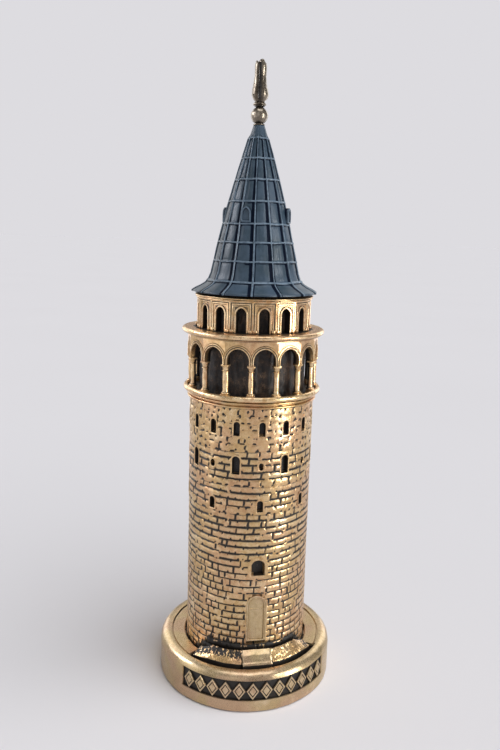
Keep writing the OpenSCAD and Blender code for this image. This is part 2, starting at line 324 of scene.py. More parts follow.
def block(size, centre, turn, bevel, wash_low):
    """A small rounded block of a width, depth and height, standing at its centre's height."""
    w, d, h = size
    steps = [(1 - bevel, 0.0), (1.0, bevel * 0.4), (1.0, 1 - bevel * 0.5), (1 - bevel * 0.8, 1.0),
             (0.0, 1.0)]
    n = 16
    a = even(n) + TAU / 32
    c = np.sign(np.cos(a)) * np.abs(np.cos(a)) ** 0.35
    s = np.sign(np.sin(a)) * np.abs(np.sin(a)) ** 0.35
    scale = max(np.abs(c).max(), np.abs(s).max())
    pts = []
    for k, t in steps:
        x = c / scale * w / 2 * k
        y = s / scale * d / 2 * k
        pts.append(np.stack([x, y, np.full(n, h * t)], -1))
    pts = np.array(pts)
    cx, cy, cz = centre
    ct, st = math.cos(turn), math.sin(turn)
    x = pts[..., 0] * ct - pts[..., 1] * st + cx
    y = pts[..., 0] * st + pts[..., 1] * ct + cy
    wash = np.array([wash_low, wash_low * 0.5, 0, 0, 0])[:, None]
    lift = np.array([0, 0.3, 0.8, 0.9, 0.4])[:, None]
    return Patch(np.stack([x, y, pts[..., 2] + cz], -1), wash, lift)


# ---------------------------------------------------------------- materials

def material(name):
    m = bpy.data.materials.new(name)
    m.use_nodes = True
    tree = m.node_tree
    shader = tree.nodes["Principled BSDF"]
    return m, tree, shader


def wire(tree, node, inputs):
    """Links sockets to a node's inputs, and sets the inputs that are given plain values."""
    for key, value in inputs.items():
        if isinstance(value, bpy.types.NodeSocket):
            tree.links.new(value, node.inputs[key])
        else:
            node.inputs[key].default_value = value


def add(tree, kind, inputs, **settings):
    node = tree.nodes.new(kind)
    for key, value in settings.items():
        setattr(node, key, value)
    wire(tree, node, inputs)
    return node


def grain(tree, scale, detail, rough=0.55):
    """Noise in the object's own space; scale is in lumps per millimetre."""
    where = add(tree, "ShaderNodeTexCoord", {}).outputs["Object"]
    return add(tree, "ShaderNodeTexNoise", {"Vector": where, "Scale": scale / MM, "Detail": detail,
                                            "Roughness": rough}).outputs["Fac"]


def ramp(tree, value, start, end, to_start=0.0, to_end=1.0):
    """A soft step from one value to another while the input goes from start to end."""
    return add(tree, "ShaderNodeMapRange", {"Value": value, "From Min": start, "From Max": end,
                                            "To Min": to_start, "To Max": to_end},
               interpolation_type="SMOOTHSTEP").outputs["Result"]


def maths(tree, operation, a, b):
    return add(tree, "ShaderNodeMath", {0: a, 1: b}, operation=operation).outputs[0]


def times(tree, a, b):
    return maths(tree, "MULTIPLY", a, b)


def plus(tree, a, b):
    return maths(tree, "ADD", a, b)


def swing(tree, value, amount):
    """How far a noise is from its middle, times an amount."""
    return times(tree, maths(tree, "SUBTRACT", value, 0.5), amount)


def mix(tree, factor, a, b):
    """Goes from colour a to colour b. A colour is a socket or three numbers."""
    a, b = [v if isinstance(v, bpy.types.NodeSocket) else (*v, 1) for v in (a, b)]
    return add(tree, "ShaderNodeMix", {0: factor, 6: a, 7: b}, data_type="RGBA").outputs[2]


def attribute(tree, name):
    return add(tree, "ShaderNodeAttribute", {}, attribute_name=name).outputs["Fac"]


def bumps(tree, shader, layers):
    """Stacks height layers of (value, strength, distance in mm) into the shader's normal."""
    normal = None
    for value, strength, distance in layers:
        node = add(tree, "ShaderNodeBump", {"Height": value, "Strength": strength,
                                            "Distance": distance * MM})
        if normal:
            tree.links.new(normal, node.inputs["Normal"])
        normal = node.outputs["Normal"]
    wire(tree, shader, {"Normal": normal})


def gold_paint(name, deep, mid, pale, speckle):
    """Pale antique gold rubbed over a casting, with black-brown wash left in the hollows; the same
    black-brown also serves as painted shade under the upper gallery's lip.
    """
    m, tree, shader = material(name)
    wash, lift, tone = [attribute(tree, k) for k in ("wash", "lift", "tone")]
    broad = grain(tree, 0.11, 3.0)
    middle = grain(tree, 0.75, 4.0)
    fine = grain(tree, 4.5, 3.0, 0.65)
    patchy = plus(tree, times(tree, broad, 0.75), times(tree, middle, 0.35))
    patchy = plus(tree, patchy, times(tree, tone, 0.08))
    rosy = tuple(c * k for c, k in zip(mid, (1.0, 0.96, 1.02)))
    brassy = tuple(c * k for c, k in zip(mid, (1.0, 1.05, 0.95)))
    hue = mix(tree, ramp(tree, grain(tree, 0.07, 2.0), 0.42, 0.58), rosy, brassy)
    worn = mix(tree, ramp(tree, patchy, 0.55, 0.85), hue, pale)
    base = mix(tree, ramp(tree, patchy, 0.26, 0.58, 0.45, 1.0), deep, worn)
    rubbed = times(tree, lift, ramp(tree, middle, 0.32, 0.6))
    base = mix(tree, times(tree, rubbed, 0.75), base, pale)
    dirt = times(tree, ramp(tree, fine, 0.55, 0.75), speckle * 0.5)
    base = mix(tree, dirt, base, deep)
    edge = plus(tree, wash, swing(tree, middle, 0.40))
    edge = plus(tree, edge, swing(tree, fine, 0.35))
    cover = ramp(tree, edge, 0.26, 0.56)
    colour = mix(tree, cover, base, (0.012, 0.0085, 0.006))
    wire(tree, shader, {"Base Color": colour})
    wire(tree, shader, {"Metallic": ramp(tree, cover, 0.0, 1.0, 0.88, 0.0)})
    rough = plus(tree, ramp(tree, fine, 0.3, 0.7, 0.24, 0.38), times(tree, cover, 0.22))
    wire(tree, shader, {"Roughness": rough})
    bumps(tree, shader, [(middle, 0.35, 0.12), (fine, 0.25, 0.04)])
    return m


def slate_paint(name):
    """Slate-blue paint, navy in the grooves and dry brushed paler on the ribs; the navy also serves as
    painted shadow left of each rib and painted shade under the battens.
    """
    m, tree, shader = material(name)
    wash, lift = attribute(tree, "wash"), attribute(tree, "lift")
    broad, middle, fine = grain(tree, 0.16, 3.0), grain(tree, 0.9, 4.0), grain(tree, 5.0, 3.0)
    base = mix(tree, ramp(tree, broad, 0.32, 0.68), (0.018, 0.040, 0.060), (0.042, 0.072, 0.110))
    base = mix(tree, times(tree, ramp(tree, middle, 0.45, 0.7), 0.35), base, (0.050, 0.078, 0.118))
    rubbed = times(tree, lift, ramp(tree, middle, 0.28, 0.62, 0.25, 1.0))
    base = mix(tree, times(tree, rubbed, 0.7), base, (0.18, 0.25, 0.33))
    edge = plus(tree, wash, swing(tree, middle, 0.5))
    cover = ramp(tree, edge, 0.22, 0.6)
    # This near-black navy is the groove wash, and also the painted shadow beside the ribs and the painted
    # shade under the battens.
    colour = mix(tree, cover, base, (0.003, 0.006, 0.016))
    wire(tree, shader, {"Base Color": colour})
    wire(tree, shader, {"Roughness": ramp(tree, fine, 0.3, 0.7, 0.36, 0.48)})
    wire(tree, shader, {"Specular IOR Level": ramp(tree, cover, 0.0, 1.0, 0.45, 0.04)})
    bumps(tree, shader, [(middle, 0.4, 0.12), (fine, 0.3, 0.04)])
    return m


def dark_wash_paint(name):
    """Black-brown wash with a little gold caught on the high spots."""
    m, tree, shader = material(name)
    wash, lift = attribute(tree, "wash"), attribute(tree, "lift")
    broad, middle, fine = grain(tree, 0.3, 3.0), grain(tree, 1.1, 4.0), grain(tree, 5.0, 3.0)
    base = mix(tree, ramp(tree, middle, 0.35, 0.7), (0.006, 0.005, 0.005), (0.026, 0.014, 0.009))
    caught = times(tree, lift, ramp(tree, fine, 0.42, 0.62))
    caught = times(tree, caught, ramp(tree, broad, 0.4, 0.62))
    colour = mix(tree, caught, base, (0.20, 0.12, 0.07))
    wire(tree, shader, {"Base Color": mix(tree, wash, colour, (0.006, 0.005, 0.006))})
    wire(tree, shader, {"Roughness": ramp(tree, fine, 0.3, 0.7, 0.5, 0.75)})
    bumps(tree, shader, [(middle, 0.5, 0.15), (fine, 0.3, 0.05)])
    return m


def bronze(name):
    """Dark antique bronze, bright where it has been rubbed."""
    m, tree, shader = material(name)
    wash, lift = attribute(tree, "wash"), attribute(tree, "lift")
    middle, fine = grain(tree, 1.3, 4.0), grain(tree, 6.0, 3.0)
    base = mix(tree, ramp(tree, middle, 0.35, 0.7), (0.034, 0.027, 0.021), (0.125, 0.10, 0.074))
    base = mix(tree, times(tree, lift, 0.5), base, (0.56, 0.48, 0.38))
    edge = plus(tree, wash, swing(tree, middle, 0.4))
    cover = ramp(tree, edge, 0.3, 0.7)
    wire(tree, shader, {"Base Color": mix(tree, cover, base, (0.012, 0.009, 0.007))})
    wire(tree, shader, {"Metallic": ramp(tree, cover, 0, 1, 0.95, 0.2)})
    wire(tree, shader, {"Roughness": ramp(tree, fine, 0.3, 0.7, 0.22, 0.38)})
    bumps(tree, shader, [(middle, 0.35, 0.1), (fine, 0.2, 0.03)])
    return m


def steel(name):
    """Drawn steel, a little uneven in shade."""
    m, tree, shader = material(name)
    drawn = grain(tree, 3.0, 3.0)
    wire(tree, shader, {"Base Color": mix(tree, drawn, (0.42, 0.42, 0.42), (0.66, 0.66, 0.65))})
    wire(tree, shader, {"Roughness": ramp(tree, drawn, 0.3, 0.7, 0.25, 0.4)})
    shader.inputs["Metallic"].default_value = 1.0
    bumps(tree, shader, [(drawn, 0.2, 0.03)])
    return m


def felt(name):
    """Pressed felt with short fibres."""
    m, tree, shader = material(name)
    clump, fibre = grain(tree, 0.7, 5.0), grain(tree, 9.0, 4.0, 0.7)
    base = mix(tree, ramp(tree, clump, 0.3, 0.7), (0.012, 0.016, 0.015), (0.032, 0.040, 0.038))
    tree.links.new(mix(tree, ramp(tree, fibre, 0.55, 0.75), base, (0.075, 0.085, 0.08)),
                   shader.inputs["Base Color"])
    shader.inputs["Roughness"].default_value = 0.95
    shader.inputs["Sheen Weight"].default_value = 0.4
    bumps(tree, shader, [(clump, 0.4, 0.15), (fibre, 0.7, 0.08)])
    return m


GOLD = gold_paint("antique_gold", (0.34, 0.185, 0.085), (0.62, 0.385, 0.195), (0.88, 0.68, 0.42), 0.5)
SMOOTH_GOLD = gold_paint("antique_gold_smooth", (0.40, 0.255, 0.145), (0.53, 0.375, 0.225),
                         (0.74, 0.58, 0.38), 0.15)
SLATE = slate_paint("slate_paint")
DARK = dark_wash_paint("dark_wash")
BRONZE = bronze("antique_bronze")


# ---------------------------------------------------------------- plinth

RIM = 3.0
FIELD_Z = BASE_H - 0.5
MOAT_R = 20.9
FRONT_MOAT_R = 25.8
GROOVE_R = 25.1
FRIEZE_HALF = math.radians(53)
FRIEZE_Z = (4.2, 11.0)
FRIEZE_DEEP = 0.8
LOZENGES = 12
APRON_HALF = math.radians(53)
POCKET_HALF = APRON_HALF + math.radians(3)
GROUND_EDGE_Z = MOAT_Z + 2.7


def felt_pad():
    line = refine(curve((0, 0), (FELT_R - 0.5, 0), (FELT_R - 0.3, 0.3, 0.3, -90, 0, 3), (FELT_R, FELT_T),
                        (0, FELT_T)), 1.5)
    disc = lathe(line, 180, uneven=0.03, seed=3)
    disc.points[:, 2] = np.maximum(disc.points[:, 2], 0)
    build("felt_pad_disc", [disc], felt("pressed_felt"), "felt_pad")


def plinth_angles():
    """Columns round the plinth, with close pairs at the frieze's ends and the front pocket's ends."""
    marks = []
    for a in (FRIEZE_HALF, POCKET_HALF):
        marks += [a - 0.006, a + 0.006, -a - 0.006, -a + 0.006]
    marks = (np.array(marks) + math.pi) % TAU
    keep = [a for a in even(300) if np.min(np.abs(a - marks)) > 0.004]
    return np.sort(np.concatenate([keep, marks]))


def base_plinth():
    cr, cz = BASE_R - RIM, BASE_H - RIM
    z0, z1 = FRIEZE_Z
    line = curve((FELT_R + 0.15, FELT_T + 0.1), (FELT_R + 0.15, 0.45), (FELT_R + 0.4, 0.3),
                 (BASE_R - 0.7, 0.3), (BASE_R - 0.5, 0.8, 0.5, -80, 0, 4), (BASE_R, z0 - 0.02),
                 (BASE_R, z0 + 0.02), (BASE_R, z1 - 0.6), (cr, cz, RIM, 4, 15.2, 3),
                 (cr, cz, RIM, 16.2, 92, 14), (GROOVE_R + 0.6, BASE_H - 0.02),
                 (GROOVE_R + 0.35, BASE_H - 0.15), (GROOVE_R + 0.25, FIELD_Z - 0.3),
                 (GROOVE_R, FIELD_Z - 0.3), (GROOVE_R - 0.15, FIELD_Z), (MOAT_R + 0.3, FIELD_Z),
                 (MOAT_R, FIELD_Z - 0.3), (MOAT_R, MOAT_Z), (18, MOAT_Z))
    theta, r, z = turned(refine(line, 0.8), plinth_angles())
    sunk = (np.abs(theta) < FRIEZE_HALF) & (z > z0) & (z < z1) & (r > BASE_R - 0.6)
    pocket = (np.abs(theta) < POCKET_HALF) & (r < FRONT_MOAT_R) & (z > MOAT_Z)
    wash = np.where(sunk | pocket, 1.0, 0.0)
    groove = np.exp(-((r - GROOVE_R - 0.12) / 0.22) ** 2) * (z > MOAT_Z + 0.2)
    groove = groove * (0.55 + 0.45 * waves(theta, 0 * z, 4, 5, 99, 12))
    wash = np.maximum(wash, groove)
    ragged = waves(theta, 0 * z, 9, 40, 9, 5) * 0.5 + waves(theta, 0 * z, 9, 90, 9, 6) * 0.4
    wash = np.maximum(wash, np.clip((MOAT_R + 0.25 + 0.45 * ragged - r) / 0.5, 0, 1))
    flat_r = np.where(sunk, r - FRIEZE_DEEP, r)
    low_z = np.where(pocket, MOAT_Z, z)
    soft = 0.05 * waves(theta, z * 2, 9, 11, 20, 21) + 0.03 * waves(theta, z * 2, 9, 40, 6, 22)
    outside = np.clip((r - 10) / 10, 0, 1)
    pts = polar(theta, flat_r + soft * outside, low_z + 0.5 * soft * (z > FIELD_Z - 0.1))
    lift = 0.55 * np.exp(-((z - BASE_H + 0.6) / 0.8) ** 2) * (r > cr - 2)
    patches = [Patch(pts, wash, lift).place_uv(0, 0, 1, 0.8)]
    step = 2 * (FRIEZE_HALF - math.radians(1.5)) / LOZENGES
    half_w = BASE_R * math.sin(step / 2) - 0.12
    half_h = (z1 - z0) / 2 - 0.42
    for i in range(LOZENGES):
        mid = (i - (LOZENGES - 1) / 2) * step
        patches += lozenge(mid, z0 + half_h + 0.28, half_w, half_h, i)
    build("plinth_casting", patches, SMOOTH_GOLD, "base_plinth", sharp=40)


def lozenge(theta, z, half_w, half_h, index):
    """A raised lozenge with a bevelled edge, an inner line and a raised middle."""
    a = even(32)
    size = 1 / (np.abs(np.cos(a)) + np.abs(np.sin(a)))
    shape = np.stack([size * np.cos(a) * half_w, size * np.sin(a) * half_h], -1)
    steps = [(1.03, -0.95, 1.0, 0), (1.0, -0.25, 0.35, 0.2), (0.95, -0.03, 0, 1), (0.72, 0.0, 0, 0.6),
             (0.68, -0.28, 0.95, 0), (0.58, -0.28, 0.95, 0), (0.53, -0.04, 0, 0.8), (0.0, 0.06, 0, 0.5)]
    jog = np.random.RandomState(100 + index).normal(0, 0.012, 2)
    rows, depth, wash, lift = sections(steps, lambda size: shape * size + jog)
    body = Patch(bend(rows, depth, theta, BASE_R, z), wash, lift)
    column, row = index % 6, index // 6
    return [body.place_uv(column / 6 + 0.01, 0.82 + row * 0.09, column / 6 + 0.15, 0.9 + row * 0.09)]


def rock(x, y, z, scale, seed):
    return noise.fractal(Vector((x * scale + seed, y * scale, z * scale)), 0.9, 2.1, 5)


def ends(points, wash, shares):
    """Closes both ends of a run with rows drawn in to the end's middle."""
    patches = []
    for j in (0, -1):
        end = points[:, j]
        cap = np.stack([end * (1 - share) + end.mean(0) * share for share in shares])
        patches.append(Patch(cap if j else cap[:, ::-1], wash, 0.2, wrap_cols=False))
    return patches


def entrance_apron():
    """Sloping stony ground in two halves, either side of the slab."""
    inner, outer = SHAFT_R + 1.0, 24.6
    top, edge = high("entrance_apron")[2], GROUND_EDGE_Z
    gap = (high("entrance_slab")[0] + 0.1) / 23.0
    patches = []
    section = refine(curve((inner, MOAT_Z), (outer, MOAT_Z), (outer, edge - 0.2),
                           (outer - 0.3, edge + 0.25),
                           (inner + 0.3, top - 0.2), (inner, top - 0.5), (inner, MOAT_Z)), 0.22)
    for side, (a0, a1) in enumerate(((-APRON_HALF, -gap), (gap, APRON_HALF))):
        theta = np.linspace(a0, a1, 130)
        pts = np.zeros((len(section), len(theta), 3))
        wash = np.zeros(pts.shape[:2])
        lift = np.zeros(pts.shape[:2])
        for i, (r, z) in enumerate(section):
            for j, t in enumerate(theta):
                fade = min(1.0, (APRON_HALF - abs(t)) / 0.25)
                on_top = z > MOAT_Z + 0.3
                x, y = r * math.sin(t), -r * math.cos(t)
                bump = rock(x, y, z, 0.45, 3 + side) if on_top else 0.0
                crag = abs(rock(x, y, 0, 1.1, 9)) if on_top else 0.0
                band = 2.7 if t < 0 else 0.9
                near_wall = np.clip((inner + band - r) / 0.9, 0, 1)
                height = (z - MOAT_Z) * (0.55 + 0.45 * fade)
                lump = (0.18 * bump + (0.05 + 0.35 * near_wall) * crag - 0.06) * (0.4 + 0.6 * fade)
                pts[i, j] = (x * (1 + 0.004 * bump), y * (1 + 0.004 * bump),
                             MOAT_Z + max(0.0, height + (lump if on_top else 0)))
                teeth = (0.9 * near_wall + 0.7 * math.exp(-(crag / 0.035) ** 2) - 1.3 * near_wall * crag
                         + 0.9 * max(0.0, 1 - fade * 1.2) * (1.1 - 2 * crag))
                wash[i, j] = 1.0 if r > outer - 0.1 and z < edge else np.clip(teeth, 0, 1)
                lift[i, j] = np.clip(0.05 + 0.25 * crag, 0, 1)
        wash[0] = wash[-1] = 1
        patches.append(Patch(pts, wash, lift, wrap_cols=False))
        patches += ends(pts, 0.6, (0, 0.5, 1))
    build("apron_stones", patches, GOLD, "entrance_apron", sharp=50, mapped=False)


def entrance_slab():
    """A plain slab that slopes down from the door."""
    lo, hi = low("entrance_slab"), high("entrance_slab")
    half = hi[0] - 0.05
    front, back = -lo[1], SHAFT_R + 1.05
    top, edge = hi[2], GROUND_EDGE_Z
    xs = np.concatenate([[-half, -half + 0.15], np.linspace(-half + 0.5, half - 0.5, 19),
                         [half - 0.15, half]])
    section = curve((back, MOAT_Z), (back, top - 0.25), (back + 0.2, top), (back + 1.7, top - 1.1),
                    (front - 0.6, edge + 0.5), (front - 0.15, edge + 0.15), (front, edge - 0.2),
                    (front, MOAT_Z + 1.2), (front, MOAT_Z))
    section = refine(section, 0.35)[::-1]
    pts = np.zeros((len(section), len(xs), 3))
    wash = np.zeros(pts.shape[:2])
    for i, (r, z) in enumerate(section):
        for j, x in enumerate(xs):
            drop = 0.22 * max(0, (abs(x) - half + 0.3) / 0.3) ** 2
            uneven = 0.10 * rock(x, r, z, 0.5, 4)
            pts[i, j] = (x, -r, z - drop * (z > MOAT_Z + 1) + uneven * (z > MOAT_Z + 0.5))
            wash[i, j] = np.clip((edge - 0.15 - z) / 0.2, 0, 1)
    lift = np.where(np.abs(xs) > half - 0.4, 0.9, 0.25)[None, :]
    patches = [Patch(pts, wash, lift, wrap_cols=False)] + ends(pts, 0.5, (0, 1))
    build("slab_stone", patches, SMOOTH_GOLD, "entrance_slab", sharp=50, mapped=False)


# ---------------------------------------------------------------- shaft

COURSES = 38
COURSE_H = (SHAFT_TOP - MOAT_Z) / COURSES
BRICK_COURSES = 15
DOTTED_COURSES = (23, 27, *range(32, COURSES))
SHAFT_COLS = 540
WINDOW_DEEP = 1.6
# Each row of openings: every how many bays, first bay, sill below the shaft's top, width, height
SLOTS = (1, 0, 8.6, 2.0, 4.4)
TALL = (2, 1, 20.9, 2.5, 5.8)
HOLES = (2, 0, 19.4, 1.7, 2.3)
SMALL = (2, 0, 33.0, 1.9, 3.7)
SMALL_HOLE_H = 3.0
STAIR_W, STAIR_H, STAIR_Z = 4.4, 5.2, SHAFT_TOP - 54.2
DOOR_Z = low("door_panel")[2]
DOOR_W = 2 * high("door_panel")[0]
DOOR_H = high("door_panel")[2] - DOOR_Z


def shaft_openings():
    """Every opening as angle, sill, width, height."""
    return [(k * BAY, SHAFT_TOP - below, w, h) for every, first, below, w, h in (SLOTS, TALL, HOLES, SMALL)
            for k in range(first, BAYS, every)]


def broken(r, cols, spacing, on, off):
    """A line that comes and goes: 1 where it is cut and 0 where it is filled, soft at the ends."""
    line = np.zeros(cols)
    at = r.uniform(-off, 0)
    while at < cols * spacing:
        run = max(0.5, r.normal(on, on * 0.45))
        i, j = int(at / spacing), int((at + run) / spacing)
        line[max(i, 0):max(j, 0)] = r.uniform(0.8, 1.0)
        at += run + max(0.4, r.normal(off, off * 0.4))
    return line


# The marks a course may have at its upright joints, as the levels (low, middle, high) that are cut
MARKS = ((1, 1, 1), (1, 1, 0), (0, 1, 1), (1, 0, 0), (0, 0, 1), (0, 1, 0), (0, 0, 0))
PLAIN_ODDS = (0.04, 0.08, 0.10, 0.28, 0.32, 0.12, 0.06)
DOTTED_ODDS = (0.01, 0.05, 0.06, 0.28, 0.34, 0.24, 0.02)
BRICK_ODDS = (0.20, 0.22, 0.24, 0.14, 0.14, 0.04, 0.02)


def masonry(theta):
    """Height, radius offset, wash, lift and tone of the courses: four levels of points to a course."""
    cols = len(theta)
    spacing = TAU * SHAFT_R / cols
    out = [[], [], [], [], []]
    r = np.random.RandomState(42)
    sway = [0.12 * waves(theta, 0 * theta, 5, 8, 99, 300 + i) for i in range(COURSES + 1)]
    for i in range(COURSES):
        brick, dotted = i < BRICK_COURSES, i in DOTTED_COURSES
        coarse = 1.0 + 1.3 * max(0.0, 1 - i / 14)
        odds = BRICK_ODDS if brick else DOTTED_ODDS if dotted else PLAIN_ODDS
        marks = np.zeros((3, cols))
        starts = []
        at = int(r.randint(0, 10))
        while at < cols - 5:
            chosen = MARKS[r.choice(len(MARKS), p=odds)]
            for level in range(3):
                marks[level, at] = chosen[level]
            if r.rand() < (0.35 if brick else 0.7):
                marks[:, (at + 1) % cols] = marks[:, at]
            starts.append(at)
            at += int(max(6, r.normal(2.9 if brick else 3.2, 0.8) / spacing))
        owner = np.searchsorted(starts, np.arange(cols), side="right") % len(starts)
        proud = r.normal(0, 0.016 * coarse, len(starts))[owner]
        tone = r.normal(0, 0.5, len(starts))[owner]
        tilt = r.normal(0, 0.014 * coarse, len(starts))[owner]
        on, off = (9.0, 0.9) if brick else (1.3, 2.6) if dotted else (13.0, 1.2)
        cut = broken(r, cols, spacing, on, off)
        cut = np.convolve(np.concatenate([cut[-1:], cut, cut[:1]]), [0.2, 0.6, 0.2], "valid")
        jag = 0.045 * coarse * waves(theta, 0 * theta, 9, 120, 99, 900 + i)
        z0 = MOAT_Z + i * COURSE_H + sway[i] + jag
        z1 = MOAT_Z + (i + 1) * COURSE_H + sway[i + 1]
        levels = [(0.0, -0.30 * cut - 0.02, cut, 0 * theta)]
        spread = 0.34 if brick else 0.5
        for t, swell, level, share in ((0.14, -0.05, 0, spread), (0.5, 0.03, 1, 0),
                                       (0.87, -0.05, 2, spread)):
            mark = marks[level]
            mark = np.maximum(mark, 0.40 * np.maximum(np.roll(mark, 1), np.roll(mark, -1)))
            beside = share * cut
            levels.append((t, swell * (cut if level != 1 else 1) + proud + tilt * (t - 0.5) - 0.28 * mark,
                           np.maximum(mark, beside),
                           np.clip(0.35 + 5 * proud + 0.25 * (level != 1) * cut, 0, 1) * (1 - mark)))
        for t, offset, wash, lift in levels:
            for column, value in zip(out, (z0 + (z1 - z0) * t, offset, wash, lift, tone)):
                column.append(value + 0 * theta)
    return [np.array(column) for column in out]


def smooth_patch(theta, z, centre, z0, w, h, margin):
    """1 inside an arch-shaped region of the wall and its margin, fading out just past it."""
    x = np.angle(np.exp(1j * (theta - centre))) * SHAFT_R
    dx = np.abs(x) - (w / 2 + margin)
    spring = z0 + h - w / 2
    over = np.hypot(x, np.maximum(z - spring, 0)) - (w / 2 + margin)
    dz = (z0 - margin) - z
    outside = np.maximum(np.where(z > spring, over, dx), dz)
    return np.clip(0.5 - outside / 0.3, 0, 1)


def tower_shaft():
    theta = even(SHAFT_COLS) - math.pi
    z, dr, wash, lift, tone = masonry(theta)
    theta = theta[None, :] + 0 * z
    r = SHAFT_R - 0.03 + dr
    pocket_deep = WINDOW_DEEP + 0.5
    # Each place: angle, sill, width, height, plain margin, pocket margin, radius of the margin, lift
    places = [(*hole, 0.42, 0.05 if hole[3] > SMALL_HOLE_H else -0.15, SHAFT_R, 0.35)
              for hole in shaft_openings()]
    places += [(0.0, STAIR_Z, STAIR_W, STAIR_H, 1.0, -0.15, SHAFT_R - 0.02, 0.3),
               (0.0, DOOR_Z - 1, DOOR_W, DOOR_H + 1, 0.25, -0.15, SHAFT_R - 0.02, 0.3)]
    for *where, margin, inset, plain_r, rubbed in places:
        plain = smooth_patch(theta, z, *where, margin)
        pocket = smooth_patch(theta, z, *where, inset) > 0.5
        r = np.where(pocket, SHAFT_R - pocket_deep, r * (1 - plain) + plain_r * plain)
        wash = wash * (1 - plain)
        lift = lift * (1 - plain) + rubbed * plain
    ragged = 0.7 * waves(theta, 0 * z, 9, 60, 99, 31) + 0.5 * waves(theta, 0 * z, 9, 140, 99, 32)
    ahead = np.clip((APRON_HALF + 0.12 - np.abs(theta)) / 0.25, 0, 1)
    to_left = np.clip((-theta - 0.25) / 0.5, 0, 1) * np.clip((APRON_HALF + 0.3 + theta) / 0.2, 0, 1)
    foot = MOAT_Z + 1.0 + 0.35 * ragged + ahead * (5.8 + 0.7 * ragged) + to_left * (0.9 + 0.6 * ragged)
    wash = np.maximum(wash, np.clip((foot - z) / 0.5, 0, 1))
    theta = np.concatenate([theta[:2], theta, theta[:2]])
    z = capped(z, (MOAT_Z, MOAT_Z), (SHAFT_TOP, SHAFT_TOP))
    r = capped(r, (0, SHAFT_R - 0.2), (SHAFT_R - 0.1, 0))
    r = r + 0.05 * waves(theta, z, 9, 9, 22, 77) * (r > 10)
    wash, lift, tone = [capped(a, (v, v), (v, v)) for a, v in ((wash, 0.6), (lift, 0.2), (tone, 0.0))]
    patches = [Patch(polar(theta, r, z), wash, lift, tone=tone).place_uv(0, 0, 1, 0.9)]
    for a, sill, w, h in shaft_openings():
        patches.append(opening(a, sill, w, h, 0.5, WINDOW_DEEP, is_oval=h < SMALL_HOLE_H))
    patches.append(opening(0.0, STAIR_Z, STAIR_W, STAIR_H, 1.05, WINDOW_DEEP + 0.2, proud=0.24))
    for k, p in enumerate(patches[1:]):
        u, v = (k % 21) / 21, 0.91 + (k // 21) * 0.045
        p.place_uv(u + 0.003, v, u + 0.044, v + 0.04)
    build("shaft_masonry", patches, GOLD, "tower_shaft", sharp=60)


def door_panel():
    """An arched plain surround with a set-in leaf and a transom."""
    w, h = DOOR_W, DOOR_H
    frame_w = 1.0
    steps = [(0.0, -0.8, 0.5, 0), (0.0, 0.10, 0.15, 0.2), (-0.12, 0.26, 0, 0.8), (-0.45, 0.30, 0, 0.5),
             (-0.55, 0.16, 0.3, 0.1), (-0.7, 0.16, 0.3, 0.1), (-0.8, 0.30, 0, 0.5),
             (-frame_w + 0.05, 0.26, 0, 0.8),
             (-frame_w, 0.1, 0.1, 0.2), (-frame_w - 0.05, -0.22, 0.42, 0),
             (-frame_w - 0.25, -0.24, 0.1, 0.1),
             (-frame_w - 0.8, -0.18, 0, 0.3), (-w / 2 * 0.8, -0.14, 0, 0.35),
             (-w / 2 * 0.995, -0.12, 0, 0.3)]
    rows, depth, wash, lift = sections(steps, lambda g: arch(w, h, g, legs=16, head=16))
    body = Patch(bend(rows, depth, 0.0, SHAFT_R, DOOR_Z), wash, lift, wrap_cols=False)
    transom_z = h - w / 2 - 1.6
    bar = bar_across(w / 2 - frame_w, transom_z, 0.45)
    sill = bar_across(w / 2 - 0.1, 0.0, 0.5, proud=0.3)
    seam = bar_up(-0.03, 0.4, transom_z)
    build("door_and_surround", [body, bar, sill, seam], SMOOTH_GOLD, "door_panel", sharp=45,
          mapped=False)


def bar_across(half, z, tall, proud=0.02):
    """A level bar on the door, bent with the wall."""
    xs = np.linspace(-half, half, 17)
    steps = [(-0.04, -0.4, 0.5), (0.0, proud - 0.12, 0.45), (0.12, proud, 0), (tall - 0.12, proud, 0),
             (tall, proud - 0.12, 0.2), (tall + 0.04, -0.4, 0.5)]
    rows = [np.stack([xs, np.full(17, z + s[0])], -1) for s in steps]
    wash = np.array([s[2] for s in steps])[:, None]
    return Patch(bend(rows, [s[1] for s in steps], 0.0, SHAFT_R, DOOR_Z), wash, 0.6,
                 wrap_cols=False)


def bar_up(x, z_from, z_to):
    """The thin line where the two leaves meet."""
    zs = np.linspace(z_from, z_to, 14)
    steps = [(-0.16, -0.3, 0.2), (-0.1, -0.05, 0.0), (0.1, -0.05, 0.0), (0.16, -0.3, 0.2)]
    rows = [np.stack([np.full(14, x + s[0]), zs], -1) for s in steps][::-1]
    wash = np.array([s[2] for s in steps])[:, None]
    return Patch(bend(rows, [s[1] for s in steps[::-1]], 0.0, SHAFT_R, DOOR_Z), wash, 0.5,
                 wrap_cols=False)


# ---------------------------------------------------------------- galleries

